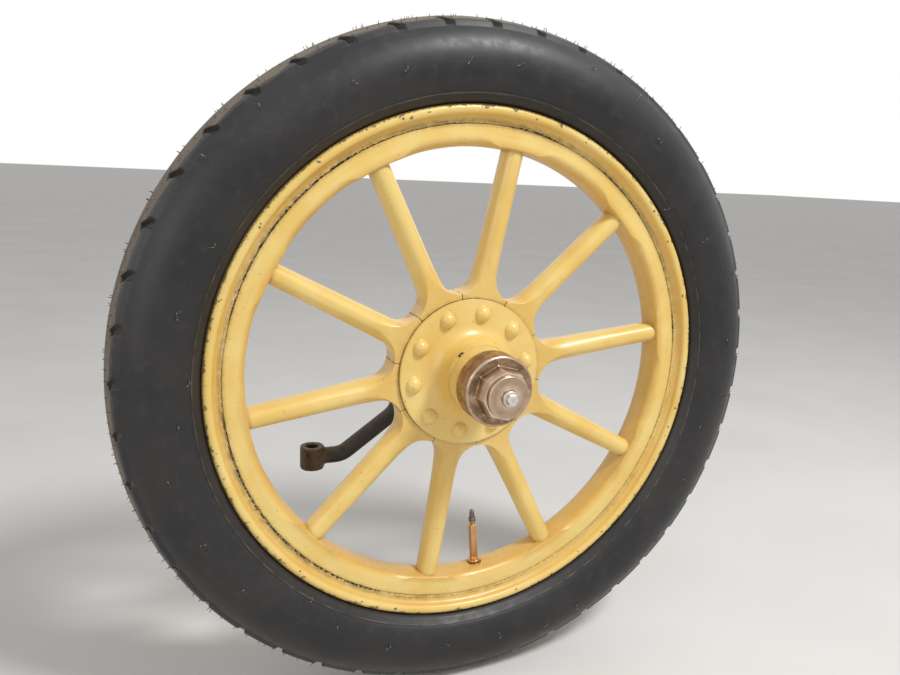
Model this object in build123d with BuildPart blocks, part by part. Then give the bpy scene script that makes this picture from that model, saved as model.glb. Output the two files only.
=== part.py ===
from build123d import *
import os
from math import asin, cos, degrees, radians, sin, sqrt

# Wooden-spoked road wheel with a beaded-edge tyre, on the stub axle that carries it.
# Millimetres. The origin is where the upright kingpin axis crosses the spindle axis. The spindle
# lies along Y and points outboard, towards -Y. +Z is up and -X is forward. A size called an offset
# is a distance from the wheel's middle plane, positive outboard.

os.makedirs("parts", exist_ok=True)

KINGPIN_TO_WHEEL = 112.0
SEAT_GAP = 0.2

# Clincher rim
RIM_SEAT_R = 293.0
RIM_BASE_THICKNESS = 3.0
RIM_SEAT_HALF_WIDTH = 25.0
ROLL_RISE = 15.0
ROLL_CENTRE_OFFSET = 29.4
ROLL_RADIUS = 6.0
VALLEY_START_ANGLE = 165.0
HOOK_ANGLE = -130.0

# Tyre
TYRE_HEIGHT = 114.5
TYRE_WIDTH = 105.0
TREAD_HALF_WIDTH = 34.0
TREAD_CROWN_R = 66.0
TREAD_STEP = 3.0
WALL_END_ANGLE = 125.0
TREAD_GROOVE_OFFSET = 12.5
TREAD_GROOVE_WIDTH = 7.0
TREAD_GROOVE_DEPTH = 4.0
WALL_FACETS = 2

# Felloe
FELLOE_HEIGHT = 24.8
FELLOE_HALF_WIDTH = 24.6
STOP_CHAMFER_R = 12.0
CHAMFER_SHIFT_SHARE = 0.6

# Spokes
SPOKE_COUNT = 10
FIRST_SPOKE_ANGLE = 8.67
FOOT_FRONT_OFFSET = 13.9
FOOT_DEPTH = 35.0
NOTCH_PAST_FLANGE = 7.0
SPOKE_WIDTH_AT_FOOT = 28.8
FLARE_FILLET = 6.5
WEDGE_LENGTH = 17.0
SHAFT_WIDTH = 28.2
SHAFT_DEPTH = 35.2
SHAFT_CORNER = 13.0
SHAFT_OFFSET = -2.6
TIP_WIDTH = 23.8
TIP_DEPTH = 32.0
TIP_CORNER = 11.2
TIP_OFFSET = 5.6
TENON_R = 8.0
TENON_LENGTH = 19.0

# Hub
HUB_BARREL_R = 41.0
FLANGE_R = 91.0
FLANGE_THICKNESS = 4.0
FLANGE_FILLET_R = 21.0
REAR_FLANGE_THICKNESS = 5.0
NOSE_STEP_OFFSET = 48.7
NOSE_STEP = 1.8
NOSE_R = 40.7
CAP_BACK_OFFSET = 72.0
NOSE_THREAD_R = 37.6
NOSE_THREAD_LENGTH = 18.0
NOSE_BORE_R = 31.5
HUB_INBOARD_R = 34.0
HUB_INBOARD_END = 58.0
HUB_CAVITY_R = 27.0

# Hub bolts
BOLT_CIRCLE_R = 74.0
BOLT_R = 5.0
BOLT_HEAD_R = 9.3
BOLT_HEAD_HEIGHT = 7.5
BOLT_NUT_FLATS = 17.0
BOLT_NUT_THICKNESS = 8.0
BOLT_TAIL = 2.5

# Spindle, its bushes and what holds the wheel on
INNER_JOURNAL_R = 19.0
OUTER_JOURNAL_R = 14.0
RUNNING_CLEARANCE = 0.05
BUSH_WALL = 5.0
INNER_BUSH_LENGTH = 32.0
OUTER_BUSH_LENGTH = 26.0
OUTER_BUSH_END_OFFSET = 68.0
END_FLOAT = 0.3
WASHER_THICKNESS = 3.0
THREAD_R = 11.0
THREAD_TAIL = 3.0
RETAINING_WASHER_R = 25.0
RETAINING_NUT_FLATS = 36.0
RETAINING_NUT_THICKNESS = 14.0
NUT_SLOT_WIDTH = 4.5
NUT_SLOT_DEPTH = 5.0
THRUST_WASHER_R = 31.0
COLLAR_R = 30.0
COLLAR_THICKNESS = 7.0
COLLAR_CONE = 8.0
NECK_R = 21.0

# Kingpin eye
KINGPIN_R = 11.0
KINGPIN_BUSH_WALL = 4.0
EYE_R = 25.0
EYE_HEIGHT = 96.0
EYE_CHAMFER = 3.0

# Steering arm and its lug on the kingpin eye
LUG_X = -50.0
LUG_R = 17.0
LUG_HEIGHT = 28.0
LUG_WEB_WIDTH = 26.0
SHANK_R = 9.0
ARM_R = 11.0
ARM_KNEE_Z = -84.0
ARM_ANKLE_X = -128.0
ARM_BEND_R = 28.0
ARM_EYE_X = -168.0
ARM_EYE_Z = -141.0
ARM_EYE_R = 16.0
ARM_EYE_HEIGHT = 30.0
TIE_PIN_R = 8.0
ARM_NUT_FLATS = 27.0
ARM_NUT_THICKNESS = 13.0

# Hub cap and its plug
CAP_R = 41.5
CAP_LENGTH = 29.0
CAP_WALL = 6.0
CAP_EDGE_FILLET = 3.5
OCTAGON_FLATS = 56.8
OCTAGON_FRONT_FLATS = 52.5
OCTAGON_LENGTH = 18.0
OCTAGON_TURN = 7.6
BOSS_R = 24.5
BOSS_LENGTH = 6.2
BOSS_CHAMFER = 0.8
PLUG_R = 9.0
PLUG_COLLAR_LENGTH = 4.4
PLUG_HEX_FLATS = 12.0
PLUG_HEX_LENGTH = 4.2

# Valve, with its lengths measured inwards from the felloe
VALVE_ANGLE = 275.7
VALVE_STEM_R = 5.6
VALVE_HOLE_R = 6.2
VALVE_COLLAR_R = 8.6
VALVE_COLLAR_RISE = 4.5
VALVE_COLLAR_HEIGHT = 12.5
VALVE_POCKET_R = 9.4
VALVE_POCKET_DEPTH = 8.0
STEM_LENGTH = 55.0
STEM_NECK_R = 3.4
STEM_NECK_LENGTH = 4.6
VALVE_CAP_BASE_R = 4.6
VALVE_CAP_BASE_LENGTH = 5.4
VALVE_CAP_SHOULDER_R = 3.6
VALVE_CAP_TIP_R = 2.6
VALVE_CAP_TAPER_LENGTH = 10.5

# Places that follow from the sizes
SPOKE_PITCH = 360.0 / SPOKE_COUNT
HALF_PITCH = SPOKE_PITCH / 2
SPOKE_ANGLES = [FIRST_SPOKE_ANGLE + SPOKE_PITCH * i for i in range(SPOKE_COUNT)]
RIM_BASE_R = RIM_SEAT_R + RIM_BASE_THICKNESS
ROLL_CENTRE_R = RIM_SEAT_R + ROLL_RISE
TYRE_R = RIM_SEAT_R + TYRE_HEIGHT
FELLOE_OUTER_R = RIM_SEAT_R - SEAT_GAP
FELLOE_INNER_R = FELLOE_OUTER_R - FELLOE_HEIGHT
FOOT_INNER_R = HUB_BARREL_R + SEAT_GAP
FOOT_REAR_OFFSET = FOOT_FRONT_OFFSET - FOOT_DEPTH
FLANGE_FRONT_OFFSET = FOOT_FRONT_OFFSET + FLANGE_THICKNESS
REAR_FLANGE_BACK_OFFSET = FOOT_REAR_OFFSET - REAR_FLANGE_THICKNESS
INNER_BUSH_R = INNER_JOURNAL_R + RUNNING_CLEARANCE + BUSH_WALL
OUTER_BUSH_R = OUTER_JOURNAL_R + RUNNING_CLEARANCE + BUSH_WALL
CAP_FRONT_OFFSET = CAP_BACK_OFFSET + CAP_LENGTH
OCTAGON_END_OFFSET = CAP_FRONT_OFFSET + OCTAGON_LENGTH
BOSS_END_OFFSET = OCTAGON_END_OFFSET + BOSS_LENGTH
PLUG_COLLAR_END_OFFSET = BOSS_END_OFFSET + PLUG_COLLAR_LENGTH
PLUG_END_OFFSET = PLUG_COLLAR_END_OFFSET + PLUG_HEX_LENGTH


def at(offset):
    """Y of a point at this offset from the wheel's middle plane."""
    return -KINGPIN_TO_WHEEL - offset


def facing(offset):
    """Plane across the spindle at this offset, facing outboard."""
    return Plane.XZ.offset(-at(offset))


def steps(curve, count):
    """Points that cut a curve into equal steps."""
    return [curve @ (i / count) for i in range(count + 1)]


def finish(piece, name):
    """Label a finished piece and write its file."""
    piece.label = name
    export_step(piece, f"parts/{name}.step")


wheel_plane = Plane(origin=(0, at(0), 0), z_dir=(0, 1, 0))
wheel_axis = Axis.Y
valve_axis = Axis((0, at(0), 0), (1, 0, 0))

# Tyre: crowned tread with two grooves, round sidewalls, beads hooked under the rim's rolled edges
wall_r = TYRE_WIDTH / 2
crown_angle = degrees(asin(TREAD_HALF_WIDTH / TREAD_CROWN_R))
groove_start = TREAD_GROOVE_OFFSET - TREAD_GROOVE_WIDTH / 2
groove_end = TREAD_GROOVE_OFFSET + TREAD_GROOVE_WIDTH / 2
groove_bottom_r = TYRE_R - TREAD_GROOVE_DEPTH
groove_end_angle = degrees(asin(groove_end / TREAD_CROWN_R))
step_angle = degrees(asin((TREAD_HALF_WIDTH + TREAD_STEP) / wall_r))
roll_top_r = ROLL_CENTRE_R + ROLL_RADIUS
mouth_offset = ROLL_CENTRE_OFFSET - ROLL_RADIUS
BEAD_CLEARANCE = 0.6
BEAD_HEEL = 2.0
with BuildPart() as tyre:
    with BuildSketch(Plane.XY):
        with BuildLine():
            outer_rib = CenterArc(
                (TYRE_R - TREAD_CROWN_R, at(0)),
                TREAD_CROWN_R,
                -groove_end_angle,
                groove_end_angle - crown_angle,
                mode=Mode.PRIVATE,
            )
            upper_wall = CenterArc(
                (TYRE_R - wall_r, at(0)), wall_r, -step_angle, step_angle - 90, mode=Mode.PRIVATE
            )
            lower_wall = CenterArc(
                (TYRE_R - wall_r, at(0)), wall_r, -90, 90 - WALL_END_ANGLE, mode=Mode.PRIVATE
            )
            Polyline(
                (TYRE_R, at(0)),
                (TYRE_R, at(groove_start)),
                (groove_bottom_r, at(TREAD_GROOVE_OFFSET)),
                outer_rib @ 0,
                outer_rib @ 1,
                *steps(upper_wall, WALL_FACETS),
                *steps(lower_wall, WALL_FACETS)[1:],
                (roll_top_r + SEAT_GAP, at(mouth_offset + BEAD_CLEARANCE)),
                (RIM_BASE_R + SEAT_GAP, at(mouth_offset - BEAD_HEEL)),
                (RIM_BASE_R + SEAT_GAP, at(0)),
            )
            mirror(about=wheel_plane)
        make_face()
    revolve(axis=wheel_axis)
finish(tyre.part, "tyre")

# Rim: flat seat, hollow flanks and rolled edges that the tyre's beads hook under
with BuildPart() as rim:
    with BuildSketch(Plane.XY):
        with BuildLine():
            roll = CenterArc(
                (ROLL_CENTRE_R, at(ROLL_CENTRE_OFFSET)),
                ROLL_RADIUS,
                -VALLEY_START_ANGLE,
                VALLEY_START_ANGLE - HOOK_ANGLE,
            )
            seat = Line((RIM_SEAT_R, at(0)), (RIM_SEAT_R, at(RIM_SEAT_HALF_WIDTH)))
            TangentArc(roll @ 0, seat @ 1, tangent=-(roll % 0))
            Polyline(
                roll @ 1,
                (RIM_BASE_R + ROLL_RADIUS, at(RIM_SEAT_HALF_WIDTH + SEAT_GAP)),
                (RIM_BASE_R, at(RIM_SEAT_HALF_WIDTH - RIM_BASE_THICKNESS)),
                (RIM_BASE_R, at(0)),
            )
            mirror(about=wheel_plane)
        make_face()
    revolve(axis=wheel_axis)
    with BuildSketch(Plane.YZ):
        with Locations((at(0), 0)):
            Circle(VALVE_HOLE_R)
    hole = extrude(amount=TYRE_R, mode=Mode.PRIVATE)
    add(hole.rotate(wheel_axis, -VALVE_ANGLE), mode=Mode.SUBTRACT)
finish(rim.part, "rim")

# Cutter that rounds the felloe's inner corners between two spokes and runs out at each spoke
CUTTER_MARGIN = 3.0
chamfer_axis = Axis((CHAMFER_SHIFT_SHARE * FELLOE_INNER_R, 0, 0), (0, 1, 0))
cutter_inner_r = FELLOE_INNER_R - CUTTER_MARGIN
corner_r = FELLOE_INNER_R + STOP_CHAMFER_R
with BuildPart() as chamfer_cutter:
    with BuildSketch(Plane.XY):
        with BuildLine():
            corner_arc = CenterArc(
                (corner_r, at(FELLOE_HALF_WIDTH - STOP_CHAMFER_R)), STOP_CHAMFER_R, 180, 90
            )
            Polyline(
                corner_arc @ 1,
                (corner_r, at(FELLOE_HALF_WIDTH + CUTTER_MARGIN)),
                (cutter_inner_r, at(FELLOE_HALF_WIDTH + CUTTER_MARGIN)),
                (cutter_inner_r, (corner_arc @ 0).Y),
                corner_arc @ 0,
            )
        make_face()
        mirror(about=wheel_plane)
    revolve(axis=chamfer_axis)

# Holes in the felloe: one for each spoke's tenon, and the valve's hole with its pocket
with BuildPart() as tenon_hole:
    with BuildSketch(Plane.YZ.offset(FELLOE_INNER_R - CUTTER_MARGIN)):
        with Locations((at(TIP_OFFSET), 0)):
            Circle(TENON_R + SEAT_GAP)
    extrude(amount=TENON_LENGTH + CUTTER_MARGIN + 1)
with BuildPart() as valve_pocket:
    with BuildSketch(Plane.YZ):
        with Locations((at(0), 0)):
            Circle(VALVE_HOLE_R)
    extrude(amount=TYRE_R)
    with BuildSketch(Plane.YZ):
        with Locations((at(0), 0)):
            Circle(VALVE_POCKET_R)
    extrude(amount=FELLOE_INNER_R + VALVE_POCKET_DEPTH)

# Felloe: a bent wooden ring in two halves that meet at the valve and opposite it
joint_normal = (-sin(radians(VALVE_ANGLE)), 0, cos(radians(VALVE_ANGLE)))
with BuildPart() as felloe:
    with BuildSketch(facing(FELLOE_HALF_WIDTH)):
        Circle(FELLOE_OUTER_R)
        Circle(FELLOE_INNER_R, mode=Mode.SUBTRACT)
    extrude(amount=-2 * FELLOE_HALF_WIDTH)
    for angle in SPOKE_ANGLES:
        add(tenon_hole.part.rotate(wheel_axis, -angle), mode=Mode.SUBTRACT)
        add(chamfer_cutter.part.rotate(wheel_axis, -angle - HALF_PITCH), mode=Mode.SUBTRACT)
    add(valve_pocket.part.rotate(wheel_axis, -VALVE_ANGLE), mode=Mode.SUBTRACT)
for name, side in (("felloe_front_half", Keep.TOP), ("felloe_rear_half", Keep.BOTTOM)):
    with BuildPart() as felloe_half:
        add(felloe.part)
        split(bisect_by=Plane(origin=(0, 0, 0), z_dir=joint_normal), keep=side)
    finish(felloe_half.part, name)

# Spoke, made along +X: a wedge foot that meets its neighbours on mitres, a flare, then a shaft
# whose flat front narrows to a point and turns into a round ridge
notch_r = FLANGE_R + NOTCH_PAST_FLANGE
notch_x = notch_r * cos(radians(HALF_PITCH))
notch_z = notch_r * sin(radians(HALF_PITCH))
half_width = SPOKE_WIDTH_AT_FOOT / 2
flare_r = (notch_z - half_width) / (1 - sin(radians(HALF_PITCH)))
flare_end = notch_x + flare_r * cos(radians(HALF_PITCH))
spoke_end = FELLOE_INNER_R - 2 * SEAT_GAP
foot_middle = FOOT_FRONT_OFFSET - FOOT_DEPTH / 2
# Shaft sections: station along the spoke, depth along Y, width, corner radius, offset of the middle
SHAFT_SECTIONS = (
    (flare_end, FOOT_DEPTH, SPOKE_WIDTH_AT_FOOT, FLARE_FILLET, foot_middle),
    (flare_end + WEDGE_LENGTH, SHAFT_DEPTH, SHAFT_WIDTH, SHAFT_CORNER, SHAFT_OFFSET),
    (spoke_end, TIP_DEPTH, TIP_WIDTH, TIP_CORNER, TIP_OFFSET),
)
with BuildPart() as spoke:
    with BuildSketch(facing(FOOT_REAR_OFFSET)):
        with BuildLine():
            root = CenterArc((0, 0), FOOT_INNER_R, -HALF_PITCH, SPOKE_PITCH)
            Line(root @ 1, (notch_x, notch_z))
            upper = CenterArc(
                (flare_end, half_width + flare_r), flare_r, 180 + HALF_PITCH, 90 - HALF_PITCH
            )
            lower = CenterArc((flare_end, -half_width - flare_r), flare_r, 90, 90 - HALF_PITCH)
            Line(upper @ 1, lower @ 0)
            Line(lower @ 1, root @ 0)
        make_face()
    extrude(amount=FOOT_DEPTH)
    flares = [e for e in spoke.edges().filter_by(GeomType.CIRCLE) if abs(e.radius - flare_r) < 0.1]
    fillet(flares, FLARE_FILLET)
    with BuildSketch(facing(FLANGE_FRONT_OFFSET)):
        with Locations((BOLT_CIRCLE_R, 0)):
            Circle(BOLT_R + SEAT_GAP)
    extrude(amount=-2 * FOOT_DEPTH, mode=Mode.SUBTRACT)
    for station, depth, width, corner, offset in SHAFT_SECTIONS:
        with BuildSketch(Plane.YZ.offset(station)):
            with Locations((at(offset), 0)):
                RectangleRounded(depth, width, corner)
    loft(ruled=True)
    with BuildSketch(Plane.YZ.offset(spoke_end)):
        with Locations((at(TIP_OFFSET), 0)):
            Circle(TENON_R)
    extrude(amount=TENON_LENGTH)
for number, angle in enumerate(SPOKE_ANGLES, 1):
    finish(spoke.part.rotate(wheel_axis, -angle), f"spoke_{number:02d}")

# Hub shell: barrel, front flange with its big fillet, and the threaded nose under the cap
barrel_r = NOSE_R + NOSE_STEP
fillet_r = barrel_r + FLANGE_FILLET_R
nose_end_offset = CAP_BACK_OFFSET + NOSE_THREAD_LENGTH
inner_bush_end_offset = INNER_BUSH_LENGTH - HUB_INBOARD_END
outer_bush_start_offset = OUTER_BUSH_END_OFFSET - OUTER_BUSH_LENGTH
with BuildPart() as hub_shell:
    with BuildSketch(Plane.XY):
        with BuildLine():
            flange_fillet = CenterArc(
                (fillet_r, at(FLANGE_FRONT_OFFSET + FLANGE_FILLET_R)), FLANGE_FILLET_R, 90, 90
            )
            Polyline(
                flange_fillet @ 0,
                (FLANGE_R, at(FLANGE_FRONT_OFFSET)),
                (FLANGE_R, at(FOOT_FRONT_OFFSET)),
                (HUB_BARREL_R, at(FOOT_FRONT_OFFSET)),
                (HUB_BARREL_R, at(REAR_FLANGE_BACK_OFFSET)),
                (HUB_INBOARD_R, at(REAR_FLANGE_BACK_OFFSET)),
                (HUB_INBOARD_R, at(-HUB_INBOARD_END)),
                (INNER_BUSH_R, at(-HUB_INBOARD_END)),
                (INNER_BUSH_R, at(inner_bush_end_offset)),
                (HUB_CAVITY_R, at(inner_bush_end_offset)),
                (HUB_CAVITY_R, at(outer_bush_start_offset)),
                (OUTER_BUSH_R, at(outer_bush_start_offset)),
                (OUTER_BUSH_R, at(OUTER_BUSH_END_OFFSET)),
                (NOSE_BORE_R, at(OUTER_BUSH_END_OFFSET)),
                (NOSE_BORE_R, at(nose_end_offset)),
                (NOSE_THREAD_R, at(nose_end_offset)),
                (NOSE_THREAD_R, at(CAP_BACK_OFFSET)),
                (NOSE_R, at(CAP_BACK_OFFSET)),
                (NOSE_R, at(NOSE_STEP_OFFSET)),
                (barrel_r, at(NOSE_STEP_OFFSET)),
                flange_fillet @ 1,
            )
        make_face()
    revolve(axis=wheel_axis)
    with BuildSketch(facing(FLANGE_FRONT_OFFSET)):
        with PolarLocations(BOLT_CIRCLE_R, SPOKE_COUNT, start_angle=FIRST_SPOKE_ANGLE):
            Circle(BOLT_R + SEAT_GAP)
    extrude(amount=-FLANGE_THICKNESS, mode=Mode.SUBTRACT)
finish(hub_shell.part, "hub_shell")

# Rear flange: a loose plate that the bolts pull against the spoke feet
with BuildPart() as rear_flange:
    with BuildSketch(facing(REAR_FLANGE_BACK_OFFSET)):
        Circle(FLANGE_R)
        Circle(FOOT_INNER_R, mode=Mode.SUBTRACT)
        with PolarLocations(BOLT_CIRCLE_R, SPOKE_COUNT, start_angle=FIRST_SPOKE_ANGLE):
            Circle(BOLT_R + SEAT_GAP, mode=Mode.SUBTRACT)
    extrude(amount=REAR_FLANGE_THICKNESS)
finish(rear_flange.part, "hub_rear_flange")

# Round-head bolts through flange, spoke foot and rear flange, and their nuts
dome_r = (BOLT_HEAD_R**2 + BOLT_HEAD_HEIGHT**2) / (2 * BOLT_HEAD_HEIGHT)
bolt_end = at(REAR_FLANGE_BACK_OFFSET - BOLT_NUT_THICKNESS - BOLT_TAIL)
head_seat = at(FLANGE_FRONT_OFFSET)
with BuildPart() as bolt:
    with BuildSketch(Plane.XY):
        with BuildLine():
            dome = RadiusArc((0, head_seat - BOLT_HEAD_HEIGHT), (BOLT_HEAD_R, head_seat), dome_r)
            Polyline(dome @ 1, (BOLT_R, head_seat), (BOLT_R, bolt_end), (0, bolt_end), dome @ 0)
        make_face()
    revolve(axis=wheel_axis)
with BuildPart() as bolt_nut:
    with BuildSketch(facing(REAR_FLANGE_BACK_OFFSET)):
        RegularPolygon(BOLT_NUT_FLATS / 2, 6, major_radius=False)
        Circle(BOLT_R, mode=Mode.SUBTRACT)
    extrude(amount=-BOLT_NUT_THICKNESS)
for name, piece in (("hub_bolts", bolt.part), ("hub_bolt_nuts", bolt_nut.part)):
    with BuildPart() as ring:
        for angle in SPOKE_ANGLES:
            add(piece.moved(Location((BOLT_CIRCLE_R, 0, 0))).rotate(wheel_axis, -angle))
    finish(ring.part, name)

# Rings on the spindle: two bushes pressed in the hub, the thrust washer and the nut's washer
collar_face = -HUB_INBOARD_END - END_FLOAT - WASHER_THICKNESS
washer_face = OUTER_BUSH_END_OFFSET + END_FLOAT
nut_face = washer_face + WASHER_THICKNESS
inner_bore_r = INNER_JOURNAL_R + RUNNING_CLEARANCE
outer_bore_r = OUTER_JOURNAL_R + RUNNING_CLEARANCE
# Name, bore radius, outer radius, offset of the inboard face, length
RINGS = (
    ("hub_bush_inner", inner_bore_r, INNER_BUSH_R, -HUB_INBOARD_END, INNER_BUSH_LENGTH),
    ("hub_bush_outer", outer_bore_r, OUTER_BUSH_R, outer_bush_start_offset, OUTER_BUSH_LENGTH),
    ("thrust_washer", INNER_JOURNAL_R, THRUST_WASHER_R, collar_face, WASHER_THICKNESS),
    ("retaining_washer", THREAD_R, RETAINING_WASHER_R, washer_face, WASHER_THICKNESS),
)
for name, bore_r, outer_r, inboard_offset, length in RINGS:
    with BuildPart() as ring:
        with BuildSketch(facing(inboard_offset)):
            Circle(outer_r)
            Circle(bore_r, mode=Mode.SUBTRACT)
        extrude(amount=length)
    finish(ring.part, name)

# Retaining nut: a hexagon whose outboard end is slotted across for a split pin
with BuildPart() as retaining_nut:
    with BuildSketch(facing(nut_face)):
        RegularPolygon(RETAINING_NUT_FLATS / 2, 6, major_radius=False)
        Circle(THREAD_R, mode=Mode.SUBTRACT)
    extrude(amount=RETAINING_NUT_THICKNESS)
    with BuildSketch(facing(nut_face + RETAINING_NUT_THICKNESS)):
        with PolarLocations(0, 3):
            Rectangle(2 * RETAINING_NUT_FLATS, NUT_SLOT_WIDTH)
    extrude(amount=-NUT_SLOT_DEPTH, mode=Mode.SUBTRACT)
finish(retaining_nut.part, "retaining_nut")

# Hub cap: turned cup with a rounded edge, tapered octagon and round boss
with BuildPart() as hub_cap:
    with BuildSketch(facing(CAP_BACK_OFFSET)):
        Circle(CAP_R)
    extrude(amount=CAP_LENGTH)
    fillet(hub_cap.edges().sort_by(Axis.Y)[0], CAP_EDGE_FILLET)
    with BuildSketch(facing(CAP_FRONT_OFFSET)):
        RegularPolygon(OCTAGON_FLATS / 2, 8, major_radius=False, rotation=OCTAGON_TURN)
    with BuildSketch(facing(OCTAGON_END_OFFSET)):
        RegularPolygon(OCTAGON_FRONT_FLATS / 2, 8, major_radius=False, rotation=OCTAGON_TURN)
    loft(ruled=True)
    with BuildSketch(facing(OCTAGON_END_OFFSET)):
        Circle(BOSS_R)
    extrude(amount=BOSS_LENGTH)
    chamfer(hub_cap.edges().sort_by(Axis.Y)[0], BOSS_CHAMFER)
    with BuildSketch(facing(CAP_BACK_OFFSET)):
        Circle(NOSE_THREAD_R + SEAT_GAP)
    extrude(amount=CAP_LENGTH - CAP_WALL, mode=Mode.SUBTRACT)
finish(hub_cap.part, "hub_cap")

# Grease plug in the middle of the cap
with BuildPart() as cap_plug:
    with BuildSketch(facing(BOSS_END_OFFSET)):
        Circle(PLUG_R)
    extrude(amount=PLUG_COLLAR_LENGTH)
    with BuildSketch(facing(PLUG_COLLAR_END_OFFSET)):
        RegularPolygon(PLUG_HEX_FLATS / 2, 6, major_radius=False)
    extrude(amount=PLUG_HEX_LENGTH)
finish(cap_plug.part, "cap_plug")

# Valve: eight-sided stem through rim and felloe, collar nut in the felloe's pocket, tapered cap
shoulder_r = FELLOE_INNER_R - STEM_LENGTH
neck_end_r = shoulder_r - STEM_NECK_LENGTH
cap_base_end_r = neck_end_r - VALVE_CAP_BASE_LENGTH
collar_top_r = FELLOE_INNER_R - VALVE_COLLAR_RISE
round_start_r = collar_top_r - VALVE_COLLAR_RISE
with BuildPart() as valve_stem:
    with BuildSketch(Plane.YZ.offset(shoulder_r)):
        with Locations((at(0), 0)):
            RegularPolygon(VALVE_STEM_R, 8)
    extrude(amount=round_start_r - shoulder_r)
    with BuildSketch(Plane.YZ.offset(neck_end_r)):
        with Locations((at(0), 0)):
            Circle(STEM_NECK_R)
    extrude(amount=STEM_NECK_LENGTH)
    with BuildSketch(Plane.YZ.offset(round_start_r)):
        with Locations((at(0), 0)):
            Circle(VALVE_STEM_R)
    extrude(amount=RIM_BASE_R - round_start_r)
with BuildPart() as valve_collar:
    with BuildSketch(Plane.YZ.offset(collar_top_r)):
        with Locations((at(0), 0)):
            Circle(VALVE_COLLAR_R)
            Circle(VALVE_STEM_R, mode=Mode.SUBTRACT)
    extrude(amount=VALVE_COLLAR_HEIGHT)
with BuildPart() as valve_cap:
    with BuildSketch(Plane.XY):
        with BuildLine():
            Polyline(
                (neck_end_r, at(0)),
                (neck_end_r, at(-VALVE_CAP_BASE_R)),
                (cap_base_end_r, at(-VALVE_CAP_BASE_R)),
                (cap_base_end_r, at(-VALVE_CAP_SHOULDER_R)),
                (cap_base_end_r - VALVE_CAP_TAPER_LENGTH, at(-VALVE_CAP_TIP_R)),
                (cap_base_end_r - VALVE_CAP_TAPER_LENGTH, at(0)),
                close=True,
            )
        make_face()
    revolve(axis=valve_axis)
VALVE_PIECES = (
    ("valve_stem", valve_stem.part),
    ("valve_collar", valve_collar.part),
    ("valve_cap", valve_cap.part),
)
for name, piece in VALVE_PIECES:
    finish(piece.rotate(wheel_axis, -VALVE_ANGLE), name)

# Stub axle: kingpin eye, neck, collar and stepped spindle in one forging, with the arm's lug
collar_back = collar_face - COLLAR_THICKNESS
thread_end = nut_face + RETAINING_NUT_THICKNESS + THREAD_TAIL
with BuildPart() as stub_axle:
    with BuildSketch(Plane.XY.offset(-EYE_HEIGHT / 2)):
        Circle(EYE_R)
    extrude(amount=EYE_HEIGHT)
    chamfer(stub_axle.edges(), EYE_CHAMFER)
    with BuildSketch(Plane.XY.offset(-LUG_HEIGHT / 2)):
        with Locations((LUG_X, 0)):
            Circle(LUG_R)
        with Locations((LUG_X / 2, 0)):
            Rectangle(-LUG_X, LUG_WEB_WIDTH)
    extrude(amount=LUG_HEIGHT)
    with BuildSketch(Plane.XY):
        with BuildLine():
            Polyline(
                (0, 0),
                (NECK_R, 0),
                (NECK_R, at(collar_back - COLLAR_CONE)),
                (COLLAR_R, at(collar_back)),
                (COLLAR_R, at(collar_face)),
                (INNER_JOURNAL_R, at(collar_face)),
                (INNER_JOURNAL_R, at(inner_bush_end_offset)),
                (OUTER_JOURNAL_R, at(outer_bush_start_offset)),
                (OUTER_JOURNAL_R, at(washer_face)),
                (THREAD_R, at(washer_face)),
                (THREAD_R, at(thread_end)),
                (0, at(thread_end)),
                close=True,
            )
        make_face()
    revolve(axis=wheel_axis)
    with BuildSketch(Plane.XY.offset(-EYE_HEIGHT / 2)):
        Circle(KINGPIN_R + KINGPIN_BUSH_WALL)
        with Locations((LUG_X, 0)):
            Circle(SHANK_R)
    extrude(amount=EYE_HEIGHT, mode=Mode.SUBTRACT)
finish(stub_axle.part, "stub_axle")

with BuildPart() as kingpin_bush:
    with BuildSketch(Plane.XY.offset(-EYE_HEIGHT / 2)):
        Circle(KINGPIN_R + KINGPIN_BUSH_WALL)
        Circle(KINGPIN_R, mode=Mode.SUBTRACT)
    extrude(amount=EYE_HEIGHT)
finish(kingpin_bush.part, "kingpin_bush")

# Steering arm: upright shank through the lug, then down and forward to the tie rod's eye
with BuildPart() as steering_arm:
    with BuildLine() as arm_route:
        FilletPolyline(
            (LUG_X, 0, -LUG_HEIGHT / 2),
            (LUG_X, 0, ARM_KNEE_Z),
            (ARM_ANKLE_X, 0, ARM_EYE_Z),
            (ARM_EYE_X, 0, ARM_EYE_Z),
            radius=ARM_BEND_R,
        )
    with BuildSketch(Plane(origin=arm_route.line @ 0, z_dir=arm_route.line % 0)):
        Circle(ARM_R)
    sweep()
    with BuildSketch(Plane.XY.offset(-LUG_HEIGHT / 2)):
        with Locations((LUG_X, 0)):
            Circle(SHANK_R)
    extrude(amount=LUG_HEIGHT + ARM_NUT_THICKNESS + THREAD_TAIL)
    with BuildSketch(Plane.XY.offset(ARM_EYE_Z - ARM_EYE_HEIGHT / 2)):
        with Locations((ARM_EYE_X, 0)):
            Circle(ARM_EYE_R)
    extrude(amount=ARM_EYE_HEIGHT)
    with BuildSketch(Plane.XY.offset(ARM_EYE_Z - ARM_EYE_HEIGHT / 2)):
        with Locations((ARM_EYE_X, 0)):
            Circle(TIE_PIN_R)
    extrude(amount=ARM_EYE_HEIGHT, mode=Mode.SUBTRACT)
finish(steering_arm.part, "steering_arm")

with BuildPart() as steering_arm_nut:
    with BuildSketch(Plane.XY.offset(LUG_HEIGHT / 2)):
        with Locations((LUG_X, 0)):
            RegularPolygon(ARM_NUT_FLATS / 2, 6, major_radius=False)
            Circle(SHANK_R, mode=Mode.SUBTRACT)
    extrude(amount=ARM_NUT_THICKNESS)
finish(steering_arm_nut.part, "steering_arm_nut")
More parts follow.
